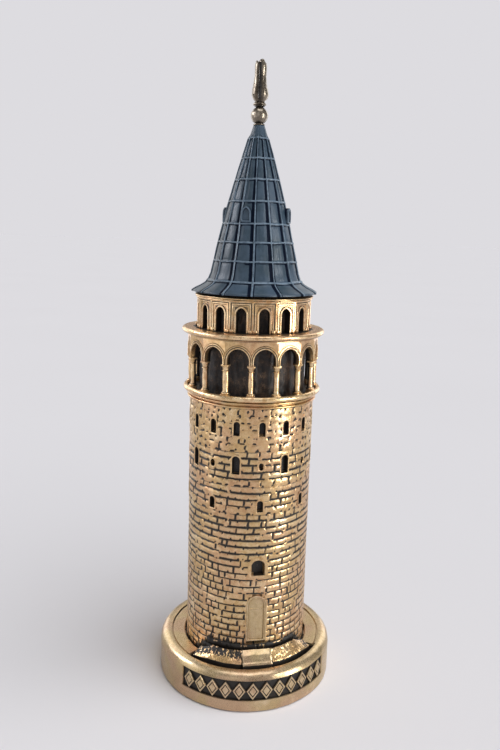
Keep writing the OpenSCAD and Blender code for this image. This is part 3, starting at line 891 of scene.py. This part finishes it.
def lower_gallery():
    lip = 0.9
    lip_r = LOWER_LIP_R - lip
    z0 = SHAFT_TOP
    line = curve((SPIGOT_R + 0.1, z0), (SHAFT_R + 0.3, z0), (SHAFT_R + 0.35, z0 + 0.4, 0.4, -90, 90, 6),
                 (SHAFT_R + 0.05, z0 + 0.85), (SHAFT_R + 0.05, z0 + 1.25),
                 (SHAFT_R + 0.55, z0 + 1.6, 0.38, -90, 60, 6),
                 (SHAFT_R + 0.5, z0 + 2.05), (lip_r - 0.1, GALLERY_Z + 0.5, lip, -75, 90, 12),
                 (lip_r - 0.1, GALLERY_Z + 0.95, 0.45, 90, 180, 4), (lip_r - 0.65, GALLERY_Z + 0.1),
                 (lip_r - 0.8, GALLERY_Z), (SPIGOT_R + 0.1, GALLERY_Z))
    line = refine(line, 0.7, closed=True)

    def wash(theta, r, z):
        patchy = 0.25 * waves(theta, z * 4, 8, 40, 9, 51)
        floor = np.clip((lip_r - 0.35 - r) / 0.4, 0, 1) * (z > GALLERY_Z - 0.1)
        below = np.exp(-((z - z0 - 1.02) / 0.16) ** 2) + np.exp(-((z - z0 - 2.1) / 0.14) ** 2)
        below = below + np.exp(-((z - z0 - 0.02) / 0.15) ** 2)
        # Darker in patches over the ring's outer face and underside below the lip.
        darker_lower_face = (0.20 + 0.3 * patchy) * (r > SHAFT_R - 1) * (z < GALLERY_Z + 0.3)
        return np.clip(floor + darker_lower_face + 0.35 * below * (r > SHAFT_R - 1) * (1 + patchy), 0, 1)

    def lift(theta, r, z):
        return 0.8 * (r > LOWER_LIP_R - 0.5) + 0.5 * (z > GALLERY_Z + 0.8)

    ring = lathe(line, 288, closed=True, uneven=0.05, seed=8, wash=wash, lift=lift)
    build("lower_gallery_ring", [ring], GOLD, "lower_gallery", sharp=50)


def upper_gallery():
    z0 = ARCADE_TOP
    lip = 0.8
    line = curve((SPIGOT_R + 0.1, z0), (20.9, z0), (21.0, z0 + 0.3, 0.3, -90, 80, 4), (21.1, z0 + 0.62),
                 (UPPER_LIP_R - lip, z0 + 1.35, lip, -80, 100, 12), (UPPER_LIP_R - 1.25, LEDGE_Z + 0.05),
                 (UPPER_LIP_R - 1.6, LEDGE_Z - 0.05), (19.2, LEDGE_Z), (SPIGOT_R + 0.1, LEDGE_Z))
    line = refine(line, 0.7, closed=True)

    def wash(theta, r, z):
        patchy = 0.5 * waves(theta, z * 4, 8, 50, 9, 61)
        near = np.clip((19.35 + 0.35 * patchy - r) / 0.5, 0, 1) * (z > z0 + 1)
        # Painted shade: two dark lines on the outer face under the gallery's lip, one in its crease and one
        # along its bottom edge.
        shade_under_lip = np.exp(-((z - z0 - 0.62) / 0.14) ** 2) * (r > 20)
        shade_under_lip = shade_under_lip + np.exp(-((z - z0) / 0.12) ** 2) * (r > 20)
        return np.clip(near + 0.8 * shade_under_lip, 0, 1)

    ring = lathe(line, 288, closed=True, uneven=0.05, seed=9, wash=wash,
                 lift=lambda theta, r, z: 0.8 * (r > UPPER_LIP_R - 0.6))
    build("upper_gallery_ring", [ring], GOLD, "upper_gallery", sharp=50)


def cornice_ring():
    z0, z1 = CORNICE_Z, EAVE_Z
    line = curve((LANTERN_CORE_R + 0.1, z0), (18.3, z0), (18.4, z0 + 0.22, 0.22, -90, 90, 5),
                 (18.3, z0 + 0.5),
                 (18.6, z0 + 0.75, 0.25, -90, 90, 5), (LANTERN_CORE_R + 0.1, z1))
    line = refine(line, 0.7, closed=True)

    def wash(theta, r, z):
        return 0.8 * np.exp(-((z - z0 - 0.47) / 0.08) ** 2) * (0.7 + 0.5 * waves(theta, z, 7, 50, 9, 71))

    ring = lathe(line, 256, closed=True, uneven=0.04, seed=10, wash=wash,
                 lift=lambda theta, r, z: 0.5 + 0 * r)
    build("cornice_mouldings", [ring], GOLD, "cornice_ring", sharp=50)


def core(name, node, radius, z0, z1, spigots, panel_w, panel_h, seed):
    """The inner wall behind a row of openings: rough, dark, with a shallow arched panel in each bay.
    spigots are the heights that its ends reach below and above the wall."""
    line = [(0, spigots[0]), (SPIGOT_R, spigots[0]), (SPIGOT_R, z0), (radius, z0)]
    line += [(radius, z) for z in np.linspace(z0, z1, 34)[1:-1]]
    line += [(radius, z1)]
    if spigots[1] > z1:
        line += [(SPIGOT_R, z1), (SPIGOT_R, spigots[1]), (0, spigots[1])]
    else:
        line += [(0, z1)]
    theta, r, z = turned(np.array(line, float), even(BAYS * 18))
    local = (theta + BAY / 2) % BAY - BAY / 2
    x = local * radius
    spring = z0 + panel_h - panel_w / 2
    panel = np.where(z > spring, np.hypot(x, z - spring) < panel_w / 2, np.abs(x) < panel_w / 2)
    wall = r > radius - 0.1
    rough = waves(theta, z, 14, 90, 3, seed) * 0.10 + waves(theta, z, 9, 30, 8, seed + 1) * 0.08
    r = r + wall * (rough - 0.35 * panel)
    lift = np.clip(0.45 + 3.0 * rough + 0.25 * panel, 0, 1) * wall
    patch = Patch(polar(theta, r, z), np.where(wall, 0.0, 0.6), lift)
    build(name, [patch], DARK, node, sharp=60)


ARCADE_FACE = 20.6
ARCADE_DEEP = 2.6
ARCH_W = 6.7
ARCH_TOP = ARCADE_TOP - 2.2
CAPITAL_Z = ARCADE_TOP - 7.3
COLUMN_AT = 20.0


def arcade_bay(k):
    """The wall over one opening: soffit, moulded archivolt and spandrel."""
    half_bay = ARCADE_FACE * math.tan(BAY / 2)
    z0 = CAPITAL_Z - 0.05
    h = ARCH_TOP - z0
    r = np.random.RandomState(200 + k)
    jog = r.normal(0, 0.03, 3)
    steps = [(0.0, -ARCADE_DEEP, 0.8, 0), (0.0, -1.2, 0.5, 0), (0.0, -0.1, 0.05, 0.3), (0.08, 0.22, 0, 1),
             (0.40, 0.26, 0, 0.9), (0.50, 0.02, 0.7, 0), (0.62, 0.02, 0.75, 0), (0.70, 0.2, 0, 0.8),
             (0.98, 0.16, 0, 0.5), (1.08, -0.04, 0.5, 0), (1.35, -0.02, 0.12, 0.25)]
    point = ARCH_W / 2 * 1.08
    rows = []
    for s in steps:
        line = arch(ARCH_W + jog[0], h + jog[1], s[0], legs=5, head=14, rise=point)
        line[:, 0] = np.clip(line[:, 0], -half_bay, half_bay)
        rows.append(line)
    centre = h - ARCH_W / 2
    top = ARCADE_TOP - z0
    outer = box_round(rows[0], half_bay, top, centre)
    mid = rows[-1] * 0.45 + outer * 0.55
    rows = [outer] + rows + [mid, outer]
    depth = [-ARCADE_DEEP] + [s[1] + jog[2] * 0.3 for s in steps] + [0.0, 0.0]
    wash = np.array([1] + [s[2] for s in steps] + [0.1, 0.05])[:, None] + 0 * outer[None, :, 0]
    lift = np.array([0] + [s[3] for s in steps] + [0.4, 0.4])[:, None]
    return Patch(flat(rows, depth, k * BAY, ARCADE_FACE, z0), wash, lift, wrap_cols=False)


def column(k):
    """A round column on a square block, with a moulded capital."""
    turn = (k + 0.5) * BAY
    r = np.random.RandomState(240 + k)
    fat = 1 + r.normal(0, 0.06)
    z0, z1 = GALLERY_Z, CAPITAL_Z
    base = 1.75
    shaft = 0.84 * fat
    line = curve((0, z0 + base - 0.2), (1.25, z0 + base - 0.2), (1.1, z0 + base + 0.12, 0.22, -80, 80, 4),
                 (shaft + 0.1, z0 + base + 0.42), (shaft, z0 + base + 0.8), (shaft + 0.03, z0 + 5),
                 (shaft, z0 + 7.5),
                 (shaft - 0.04, z1 - 2.0), (shaft + 0.14, z1 - 1.8, 0.12, -90, 90, 4), (shaft, z1 - 1.6),
                 (shaft + 0.05, z1 - 1.2), (1.12, z1 - 0.6), (1.2, z1 - 0.5), (1.2, z1 + 0.1),
                 (0, z1 + 0.1))
    line = refine(line, 0.8)
    a = even(20)[None, :]
    rr = line[:, :1] * (1 + 0.035 * np.sin(3 * a + r.uniform(0, 6) + line[:, 1:]))
    x = rr * np.sin(a)
    y = -rr * np.cos(a)
    z = line[:, 1:] + 0 * a
    cx, cy = COLUMN_AT * math.sin(turn), -COLUMN_AT * math.cos(turn)
    pts = np.stack([x + cx, y + cy, z], -1)
    facing = (x * cx + y * cy) / (np.maximum(rr, 0.1) * COLUMN_AT)
    hollow = np.exp(-((z - z0 - base - 0.42) / 0.12) ** 2) + np.exp(-((z - z1 + 1.55) / 0.12) ** 2)
    wash = np.clip(0.45 - 1.0 * facing, 0, 0.9) * (facing < 0.2) + 0.5 * hollow
    lift = np.clip(facing, 0, 1)
    patches = [Patch(pts, wash, lift)]
    patches.append(block((2.7, 2.4, base - 0.1), (cx * 1.012, cy * 1.012, z0), turn, 0.18, 0.7))
    patches.append(block((2.5, 2.3, 0.5), (cx * 1.004, cy * 1.004, z1 - 0.35), turn, 0.2, 0.3))
    return patches


def arcade_ring():
    patches = []
    for k in range(BAYS):
        patches.append(arcade_bay(k))
        patches += column(k)
    build("arcade_columns_and_arches", patches, GOLD, "arcade_ring", sharp=48, mapped=False)


DRUM_FACE = 17.8
DRUM_WINDOW_W = 3.1
DRUM_WINDOW_TOP = LEDGE_Z + 7.5


def drum_bay(k):
    """One flat bay of the lantern: pointed window, raised moulding, sunk panel and its frame."""
    half_bay = DRUM_FACE * math.tan(BAY / 2)
    z0 = LEDGE_Z
    h = DRUM_WINDOW_TOP - z0
    r = np.random.RandomState(280 + k)
    jog = r.normal(0, 0.03, 3)
    w = DRUM_WINDOW_W + jog[0]
    point = w * 0.62
    steps = [(0.0, -2.3, 1.0, 0), (0.0, -0.3, 0.9, 0), (0.0, -0.05, 0.3, 0.4), (0.12, 0.16, 0, 1),
             (0.5, 0.2, 0, 0.9), (0.62, 0.0, 0.55, 0)]
    rows = [arch(w, h + jog[1], s[0], legs=8, head=10, rise=point) for s in steps]
    centre = h - w / 2
    top = CORNICE_Z - z0
    # Half width, top, depth, wash and lift
    frames = [(2.35, top - 1.25, -0.10, 0.25, 0.1), (2.5, top - 1.05, -0.08, 0.55, 0),
              (2.62, top - 0.9, 0.14, 0, 1), (2.92, top - 0.6, 0.16, 0, 0.8),
              (3.02, top - 0.5, -0.08, 0.75, 0), (half_bay - 0.34, top - 0.34, -0.1, 0.8, 0),
              (half_bay - 0.26, top - 0.3, 0.1, 0, 0.9), (half_bay - 0.04, top - 0.1, 0.12, 0, 0.7),
              (half_bay, top, 0.0, 0.35, 0)]
    rows += [box_round(rows[0], f[0], f[1], centre) for f in frames]
    rows = np.array([rows[-1]] + rows)
    depth = [-2.3] + [s[1] for s in steps] + [f[2] for f in frames]
    wash = np.array([1] + [s[2] for s in steps] + [f[3] for f in frames])[:, None]
    lift = np.array([0] + [s[3] for s in steps] + [f[4] for f in frames])[:, None]
    wash = np.clip(wash + np.clip(0.9 - rows[..., 1], 0, 1) * 0.6 * (wash < 0.9), 0, 1)
    patches = [Patch(flat(rows, depth, k * BAY, DRUM_FACE, z0), wash, lift, wrap_cols=False)]
    turn = k * BAY
    out = DRUM_FACE + 0.15
    for x in (-2.75, 2.75):
        cx = x * math.cos(turn) + out * math.sin(turn)
        cy = x * math.sin(turn) - out * math.cos(turn)
        patches.append(block((1.0, 0.9, 1.15), (cx, cy, z0), turn, 0.3, 0.8))
    return patches


def lantern_drum():
    patches = []
    for k in range(BAYS):
        patches += drum_bay(k)
    build("lantern_windows", patches, GOLD, "lantern_drum", sharp=48, mapped=False)


# ---------------------------------------------------------------- roof

RIBS = 14
RIB_PHASE = 0.5
BATTENS = 8
SKIRT_H = 5.8
SKIRT_R = 13.9
CAP_R = 1.7
ROOF_BULGE = 0.7
BATTEN_Z = EAVE_Z + 3.8
BATTEN_STEP = (CAP_Z - 3.9 - BATTEN_Z) / (BATTENS - 1)
DORMER_Z = low("roof_dormers")[2]
DORMER_W, DORMER_H = 3.0, 4.6
DORMERS, DORMER_TURN = 4, -28


def roof_radius(z):
    t = np.clip((z - EAVE_Z - SKIRT_H) / (CAP_Z - EAVE_Z - SKIRT_H), 0, 1)
    slope = SKIRT_R + (CAP_R - SKIRT_R) * t + ROOF_BULGE * np.sin(math.pi * t)
    skirt = np.interp(z - EAVE_Z, [0, 0.55, 1.2, 1.9, 2.9, 4.1, SKIRT_H],
                      [EAVE_R, EAVE_R, EAVE_R - 1.05, EAVE_R - 2.5, EAVE_R - 4.1, EAVE_R - 5.1, SKIRT_R])
    return np.where(z < EAVE_Z + SKIRT_H, skirt, slope)


def batten_level(i):
    """Height of a batten, a little off its even place as on the casting."""
    off = (0.0, -0.1, -0.5, -1.1, -0.5, -0.1, 0.1, 0.0)[i]
    return BATTEN_Z + i * BATTEN_STEP + off


def roof_levels():
    """Heights of the points up the roof: close together at each batten."""
    levels = [EAVE_Z + v for v in (0.12, 0.35, 0.55, 0.8, 1.2, 1.6, 2.0, 2.5, 2.9)]
    for i in range(BATTENS):
        z = batten_level(i)
        levels += [z + v for v in (-0.68, -0.48, -0.32, -0.22, -0.08, 0.08, 0.22, 0.32, 0.48, 0.68)]
        if i < BATTENS - 1:
            gap = batten_level(i + 1) - z - 1.36
            levels += [z + 0.68 + gap * t for t in (0.14, 0.32, 0.5, 0.68, 0.86)]
    levels += [CAP_Z - v for v in (2.9, 2.4, 1.8, 1.2, 0.6, 0.15)]
    return np.array(levels)


def roof_cone():
    z = roof_levels()[:, None]
    radius = roof_radius(z)
    # Places across one panel, from one rib's middle to the next: rib, groove, then the panel
    rib_half = np.clip(0.11 + 0.022 * radius, 0.15, 0.36)
    near = np.array([0.0, 0.45, 0.85, 1.0])
    sector = TAU / RIBS
    theta, height, wash, lift = [], [], [], []
    for k in range(RIBS):
        middle = (k + RIB_PHASE) * sector
        wander = 0.06 * waves(0 * z, z, 5, 3, 30, 400 + k)
        width = sector * radius
        narrow, wide = np.clip(0.035 * radius, 0.12, 0.4), np.clip(0.1 * radius, 0.24, 1.15)
        left = [rib_half * f for f in near] + [rib_half + narrow * f for f in (0.4, 1.0, 1.5)]
        right = [width - rib_half * f for f in near[:0:-1]]
        right = [width - rib_half - wide * f for f in (1.4, 1.15, 1.0, 0.5, 0.12)] + right
        panel = [left[-1] + (right[0] - left[-1]) * f for f in np.linspace(0, 1, 10)[1:-1]]
        places = left + panel + right
        for s in places:
            away = np.minimum(s, width - s)
            theta.append(middle + (s + wander) / radius)
            rib = np.clip((rib_half * 1.02 - away) / (rib_half * 0.35), 0, 1)
            # Painted shadow: seen from outside, the wide groove on the left of each rib gets a full navy
            # wash and the narrow one on its right a lighter one, so the dark left groove is partly wash and
            # partly the rib's painted shadow.
            shadow_side = s > width / 2
            trench = np.where(shadow_side, wide, narrow)
            deep = np.clip((rib_half + trench - away) / (trench * 0.3), 0, 1) * (1 - rib)
            ragged = waves(0 * z, z, 5, 3, 8, 420 + k)
            groove = deep * np.clip(np.where(shadow_side, 1.35 + 0.3 * ragged, 0.75 + 0.35 * ragged), 0, 1)
            swell = 0.12 * np.sin(math.pi * s / width) ** 2
            height.append(0.42 * rib - 0.22 * deep + swell)
            wash.append(groove)
            lift.append(rib)
    theta = np.concatenate([np.broadcast_to(t, z.shape) for t in theta], 1)
    height, wash, lift = [np.concatenate([np.broadcast_to(v, z.shape) for v in a], 1)
                          for a in (height, wash, lift)]
    fade = np.clip((CAP_Z - 2.8 - z) / 1.2, 0, 1)
    height, wash, lift = height * fade, wash * fade, lift * fade
    for i in range(BATTENS):
        zb = batten_level(i) + 0.07 * waves(theta, 0 * theta, 5, 12, 99, 440 + i)
        d = np.abs(z - zb)
        bar = np.clip((0.32 - d) / 0.12, 0, 1)
        dip = np.exp(-((d - 0.50) / 0.16) ** 2) * (1 - lift)
        height = np.maximum(height, 0.30 * bar) - 0.08 * dip
        broken_up = 0.8 + 0.3 * waves(theta, 0 * theta, 6, 30, 99, 480 + i)
        # Painted shade: the dark line below each batten is full and the one above it about a third as
        # strong, so it is partly the wash in the dip and partly shade painted under the batten.
        wash = np.maximum(wash * (1 - bar), np.clip(broken_up, 0, 1) * dip * np.where(z < zb, 1.0, 0.35))
        lift = np.maximum(lift, bar)
    uneven = 0.05 * waves(theta, z, 10, 30, 9, 460) + 0.03 * waves(theta, z, 10, 80, 4, 461)
    r = radius + height + uneven * np.clip(radius / 6, 0, 1)
    # The underside has four rows, from the spigot socket out to the eave, and the top has two
    r = capped(r, (0, SPIGOT_R + 0.2, SPIGOT_R + 0.2, EAVE_R - 0.4), (CAP_R - 0.25, 0))
    z = capped(z + 0 * theta, (EAVE_Z + 3, EAVE_Z + 3, EAVE_Z, EAVE_Z), (CAP_Z, CAP_Z))
    theta = np.concatenate([theta[:1]] * 4 + [theta] + [theta[-1:]] * 2)
    wash, lift = capped(wash, (0.5,) * 4, (0, 0)), capped(lift, (0,) * 4, (0, 0))
    patch = Patch(polar(theta, r, z), wash, lift)
    build("roof_ribbed_cone", [patch], SLATE, "roof_cone", sharp=60)


def dormer(turn):
    """A small pointed hood that leans out of a roof panel, with a sunk opening."""
    w, h = DORMER_W, DORMER_H
    face = float(roof_radius(np.array(DORMER_Z + 0.3)))
    point = w * 0.75
    steps = [(0.0, -3.0, 0.9, 0), (0.0, -0.6, 0.8, 0), (0.0, 0.45, 0.2, 0.3), (-0.1, 0.66, 0, 0.9),
             (-0.34, 0.68, 0, 0.8), (-0.44, 0.5, 0.25, 0), (-0.5, 0.3, 0.45, 0),
             (-0.9, 0.25, 0.2, 0), (-w / 2 * 0.995, 0.25, 0.1, 0.1)]
    rows, depth, wash, lift = sections(
        steps, lambda g: arch(w, h, g, legs=5, head=9, foot=5, rise=point, sill=1.0))
    return Patch(flat(rows, depth, turn, face, DORMER_Z), wash, lift)


def roof_dormers():
    patches = [dormer(math.radians(DORMER_TURN + 360 / DORMERS * k)) for k in range(DORMERS)]
    build("dormer_hoods", patches, SLATE, "roof_dormers", sharp=45, mapped=False)


# ---------------------------------------------------------------- finial

def finial_ball():
    lo, hi = low("finial_ball")[2], high("finial_ball")[2]
    ball_r = high("finial_ball")[0]
    mid = lo + ball_r + 0.25
    line = curve((0, lo), (1.6, lo), (1.6, lo + 0.2, 0.2, -90, 90, 4), (1.3, lo + 0.45),
                 (0, mid, ball_r, -58, 62, 20), (1.15, mid + ball_r + 0.02),
                 (1.45, mid + ball_r + 0.2, 0.16, -90, 90, 4),
                 (1.2, hi), (0, hi))
    line = refine(line, 0.5)

    def wash(theta, r, z):
        return 0.9 * np.exp(-((z - lo - 0.5) / 0.22) ** 2) + 0.9 * np.exp(-((z - mid - ball_r) / 0.25) ** 2)

    def lift(theta, r, z):
        return np.clip(0.5 + 0.5 * np.exp(-(z - mid - 0.6) ** 2) + 0.2 * waves(theta, z, 5, 6, 5, 81), 0, 1)

    build("finial_turned_ball", [lathe(line, 64, uneven=0.05, seed=14, wash=wash, lift=lift)], BRONZE,
          "finial_ball", sharp=50)


def finial_bud():
    """A tall bud of two lobes with a groove between them and a notched top."""
    z0, z1 = BUD_Z, TOP_Z
    tall = z1 - z0
    zs = np.concatenate([[0, 0, 0.12, 0.3, 0.5, 0.7, 0.85], np.linspace(1.0, tall - 1.9, 34),
                         [tall - 1.6, tall - 1.35, tall - 1.15, tall - 1.1]])
    rs = np.interp(zs, [0, 0.12, 0.4, 0.8, 1.2, 2.0, 3.0, 4.6, 6.5, 9.0,
                        tall - 2.4, tall - 1.5, tall - 1.1],
                   [1.75, 2.0, 2.05, 1.65, 1.55, 2.3, 2.65, 2.45, 2.0, 1.8, 1.88, 1.78, 1.6])
    rs[[0, -1]] = 0
    theta = even(48)[None, :] - math.pi
    z = zs[:, None]
    front = math.radians(-14)
    split = sum(np.exp(-(np.angle(np.exp(1j * (theta - front - s))) / 0.30) ** 2) for s in (0, math.pi))
    on = np.clip((z - 1.1) / 0.8, 0, 1)
    r = rs[:, None] * (1 - 0.30 * split * on) * (1 + 0.05 * on * waves(theta, z, 6, 4, 7, 91))
    rings = sum(np.exp(-((z - v) / 0.16) ** 2) for v in (1.05, 5.3, 8.2))
    r = r - 0.16 * rings * (r > 0.5)
    wash = np.clip(0.95 * split * on + 0.7 * rings, 0, 1)
    lift = np.clip((1 - 1.6 * split) * (0.55 + 0.3 * waves(theta, z, 5, 3, 6, 93)), 0, 1) * (r > 0.5)
    patches = [Patch(polar(theta, r, z + z0), wash, lift)]
    for x, y, radius, top in ((0.46, 0.0, 1.08, 0.0), (-1.13, 0.05, 0.46, 0.55)):
        patches.append(prong(x, y, radius, z1 - 2.0, z1 - top))
    build("finial_bud_lobes", patches, BRONZE, "finial_bud", sharp=60, mapped=False)


def prong(x, y, radius, z0, z1):
    """One rounded tip of the bud's notched top."""
    t = np.linspace(0, 1, 12)[:, None]
    a = even(16)[None, :]
    r = radius * np.sqrt(np.clip(1 - t ** 4, 0, 1)) * (0.9 + 0.1 * np.cos(3 * a))
    points = np.stack([x + r * np.sin(a), y - r * np.cos(a), z0 + (z1 - z0) * t + 0 * a], -1)
    return Patch(points, 0.1, 0.6 * t)


# ---------------------------------------------------------------- stage, light, camera

VIEW_TURN = math.radians(10.5)
VIEW_DISTANCE, VIEW_HEIGHT = 225.0, 147.5
VIEW_PITCH, VIEW_ROLL = math.radians(11.2), math.radians(1.64)
LENS, SENSOR_W = 33.6, 36
VIEW_SHIFT = -0.0026


def camera_directions():
    forward = Vector((math.sin(VIEW_TURN), math.cos(VIEW_TURN), 0))
    right = Vector((forward.y, -forward.x, 0))
    ahead = forward * math.cos(VIEW_PITCH) - Vector((0, 0, 1)) * math.sin(VIEW_PITCH)
    up = right.cross(ahead)
    return forward, right, ahead, up


def camera():
    forward, right, ahead, up = camera_directions()
    c, s = math.cos(VIEW_ROLL), math.sin(VIEW_ROLL)
    x_axis = right * c + up * s
    y_axis = up * c - right * s
    place = -forward * VIEW_DISTANCE + Vector((0, 0, VIEW_HEIGHT))
    data = bpy.data.cameras.new("camera")
    data.lens = LENS
    data.sensor_width = SENSOR_W
    data.shift_x = VIEW_SHIFT
    data.clip_start = 0.005
    data.clip_end = 20
    cam = bpy.data.objects.new("camera", data)
    turn = Matrix((x_axis, y_axis, -ahead)).transposed().to_4x4()
    cam.matrix_world = Matrix.Translation(place * MM) @ turn
    bpy.context.scene.collection.objects.link(cam)
    bpy.context.scene.camera = cam


PALE = (0.725, 0.715, 0.745)
FLOOR_ALBEDO = 0.8
SKY = 0.22
AIM_Z = 95
FLOOR_REACH = 30
SUN_AWAY = 500


def from_camera(turn, distance, height):
    """A place at an angle to the right of the camera, seen from the tower."""
    forward, right, _, _ = camera_directions()
    a = math.radians(turn)
    return (right * math.sin(a) - forward * math.cos(a)) * distance * MM + Vector((0, 0, height * MM))


def aim(thing, place, target):
    """Puts a lamp at a place, facing a target."""
    turn = (target - place).to_track_quat("-Z", "Y")
    thing.matrix_world = Matrix.Translation(place) @ turn.to_matrix().to_4x4()
    bpy.context.scene.collection.objects.link(thing)


def softbox(name, turn, distance, height, size, radiance, colour=(1, 1, 1)):
    """A soft panel that the metal mirrors, facing the tower's middle."""
    data = bpy.data.lights.new(name, "AREA")
    data.shape = "RECTANGLE"
    data.size, data.size_y = size[0] * MM, size[1] * MM
    data.energy = radiance * math.pi * data.size * data.size_y
    data.color = colour
    lamp = bpy.data.objects.new(name, data)
    lamp.visible_camera = False
    lamp.visible_diffuse = False
    aim(lamp, from_camera(turn, distance, height), Vector((0, 0, AIM_Z * MM)))


def daylight(turn, rise, radiance):
    """Even, very soft light from one side, which lights the floor and leaves no hard shadow."""
    data = bpy.data.lights.new("daylight", "SUN")
    data.angle = math.radians(70)
    data.energy = radiance * math.pi / math.sin(math.radians(rise))
    lamp = bpy.data.objects.new("daylight", data)
    lamp.visible_glossy = False
    aim(lamp, from_camera(turn, SUN_AWAY, SUN_AWAY * math.tan(math.radians(rise))), Vector((0, 0, 0)))


def stage():
    """A wide pale floor."""
    m, tree, shader = material("pale_floor")
    soft = grain(tree, 0.004, 2.0)
    tint = [c / max(PALE) * FLOOR_ALBEDO for c in PALE]
    tree.links.new(mix(tree, soft, tuple(c * 0.985 for c in tint), tuple(c * 1.015 for c in tint)),
                   shader.inputs["Base Color"])
    shader.inputs["Roughness"].default_value = 1.0
    shader.inputs["Specular IOR Level"].default_value = 0.0
    mesh = bpy.data.meshes.new("floor")
    corners = [(x * FLOOR_REACH, y * FLOOR_REACH, 0) for x, y in ((-1, -1), (1, -1), (1, 1), (-1, 1))]
    mesh.from_pydata(corners, [], [(0, 1, 2, 3)])
    mesh.materials.append(m)
    floor = bpy.data.objects.new("floor", mesh)
    bpy.context.scene.collection.objects.link(floor)


def world():
    """The room's soft light, and the pale backdrop that meets the floor without a line."""
    w = bpy.data.worlds.new("studio")
    bpy.context.scene.world = w
    w.use_nodes = True
    tree = w.node_tree
    tree.nodes.clear()
    room = add(tree, "ShaderNodeBackground", {"Color": (1, 1, 1, 1), "Strength": SKY})
    backdrop = add(tree, "ShaderNodeBackground", {"Color": (*PALE, 1), "Strength": 1.0})
    seen = add(tree, "ShaderNodeLightPath", {}).outputs["Is Camera Ray"]
    both = add(tree, "ShaderNodeMixShader", {0: seen, 1: room.outputs[0], 2: backdrop.outputs[0]})
    add(tree, "ShaderNodeOutputWorld", {"Surface": both.outputs[0]})


felt_pad()
base_plinth()
entrance_apron()
entrance_slab()
tower_shaft()
door_panel()
lower_gallery()
core("arcade_inner_wall", "arcade_core", CORE_R, GALLERY_Z, ARCADE_TOP,
     (SHAFT_TOP - 3.8, ARCADE_TOP), 3.6, 12.5, 33)
arcade_ring()
upper_gallery()
core("lantern_inner_wall", "lantern_core", LANTERN_CORE_R, LEDGE_Z, EAVE_Z,
     (ARCADE_TOP, EAVE_Z + 2.8), 2.2, 6.5, 37)
lantern_drum()
cornice_ring()
roof_cone()
roof_dormers()
finial_ball()
finial_bud()

pin = frame["nodes"]["finial_pin"]
pin.data.materials.clear()
pin.data.materials.append(steel("drawn_steel"))

stage()
world()
daylight(55, 50, max(PALE) / FLOOR_ALBEDO - SKY)
softbox("key", 60, 460, 130, (125, 400), 14.0, (1.0, 0.99, 0.95))
softbox("left", -72, 480, 180, (260, 560), 1.2, (0.98, 0.98, 1.0))
softbox("roof_left", -100, 480, 345, (200, 200), 11.0, (0.93, 0.94, 1.0))
softbox("behind", 180, 620, 420, (620, 260), 0.9, (1.0, 0.985, 0.96))
softbox("front", -14, 620, 300, (420, 420), 0.6)
softbox("back_left", -140, 480, 220, (240, 560), 1.8)
softbox("back_right", 142, 480, 220, (220, 560), 1.8)
softbox("top", 20, 120, 700, (420, 420), 2.2)
camera()
bpy.context.scene.view_settings.view_transform = "Standard"
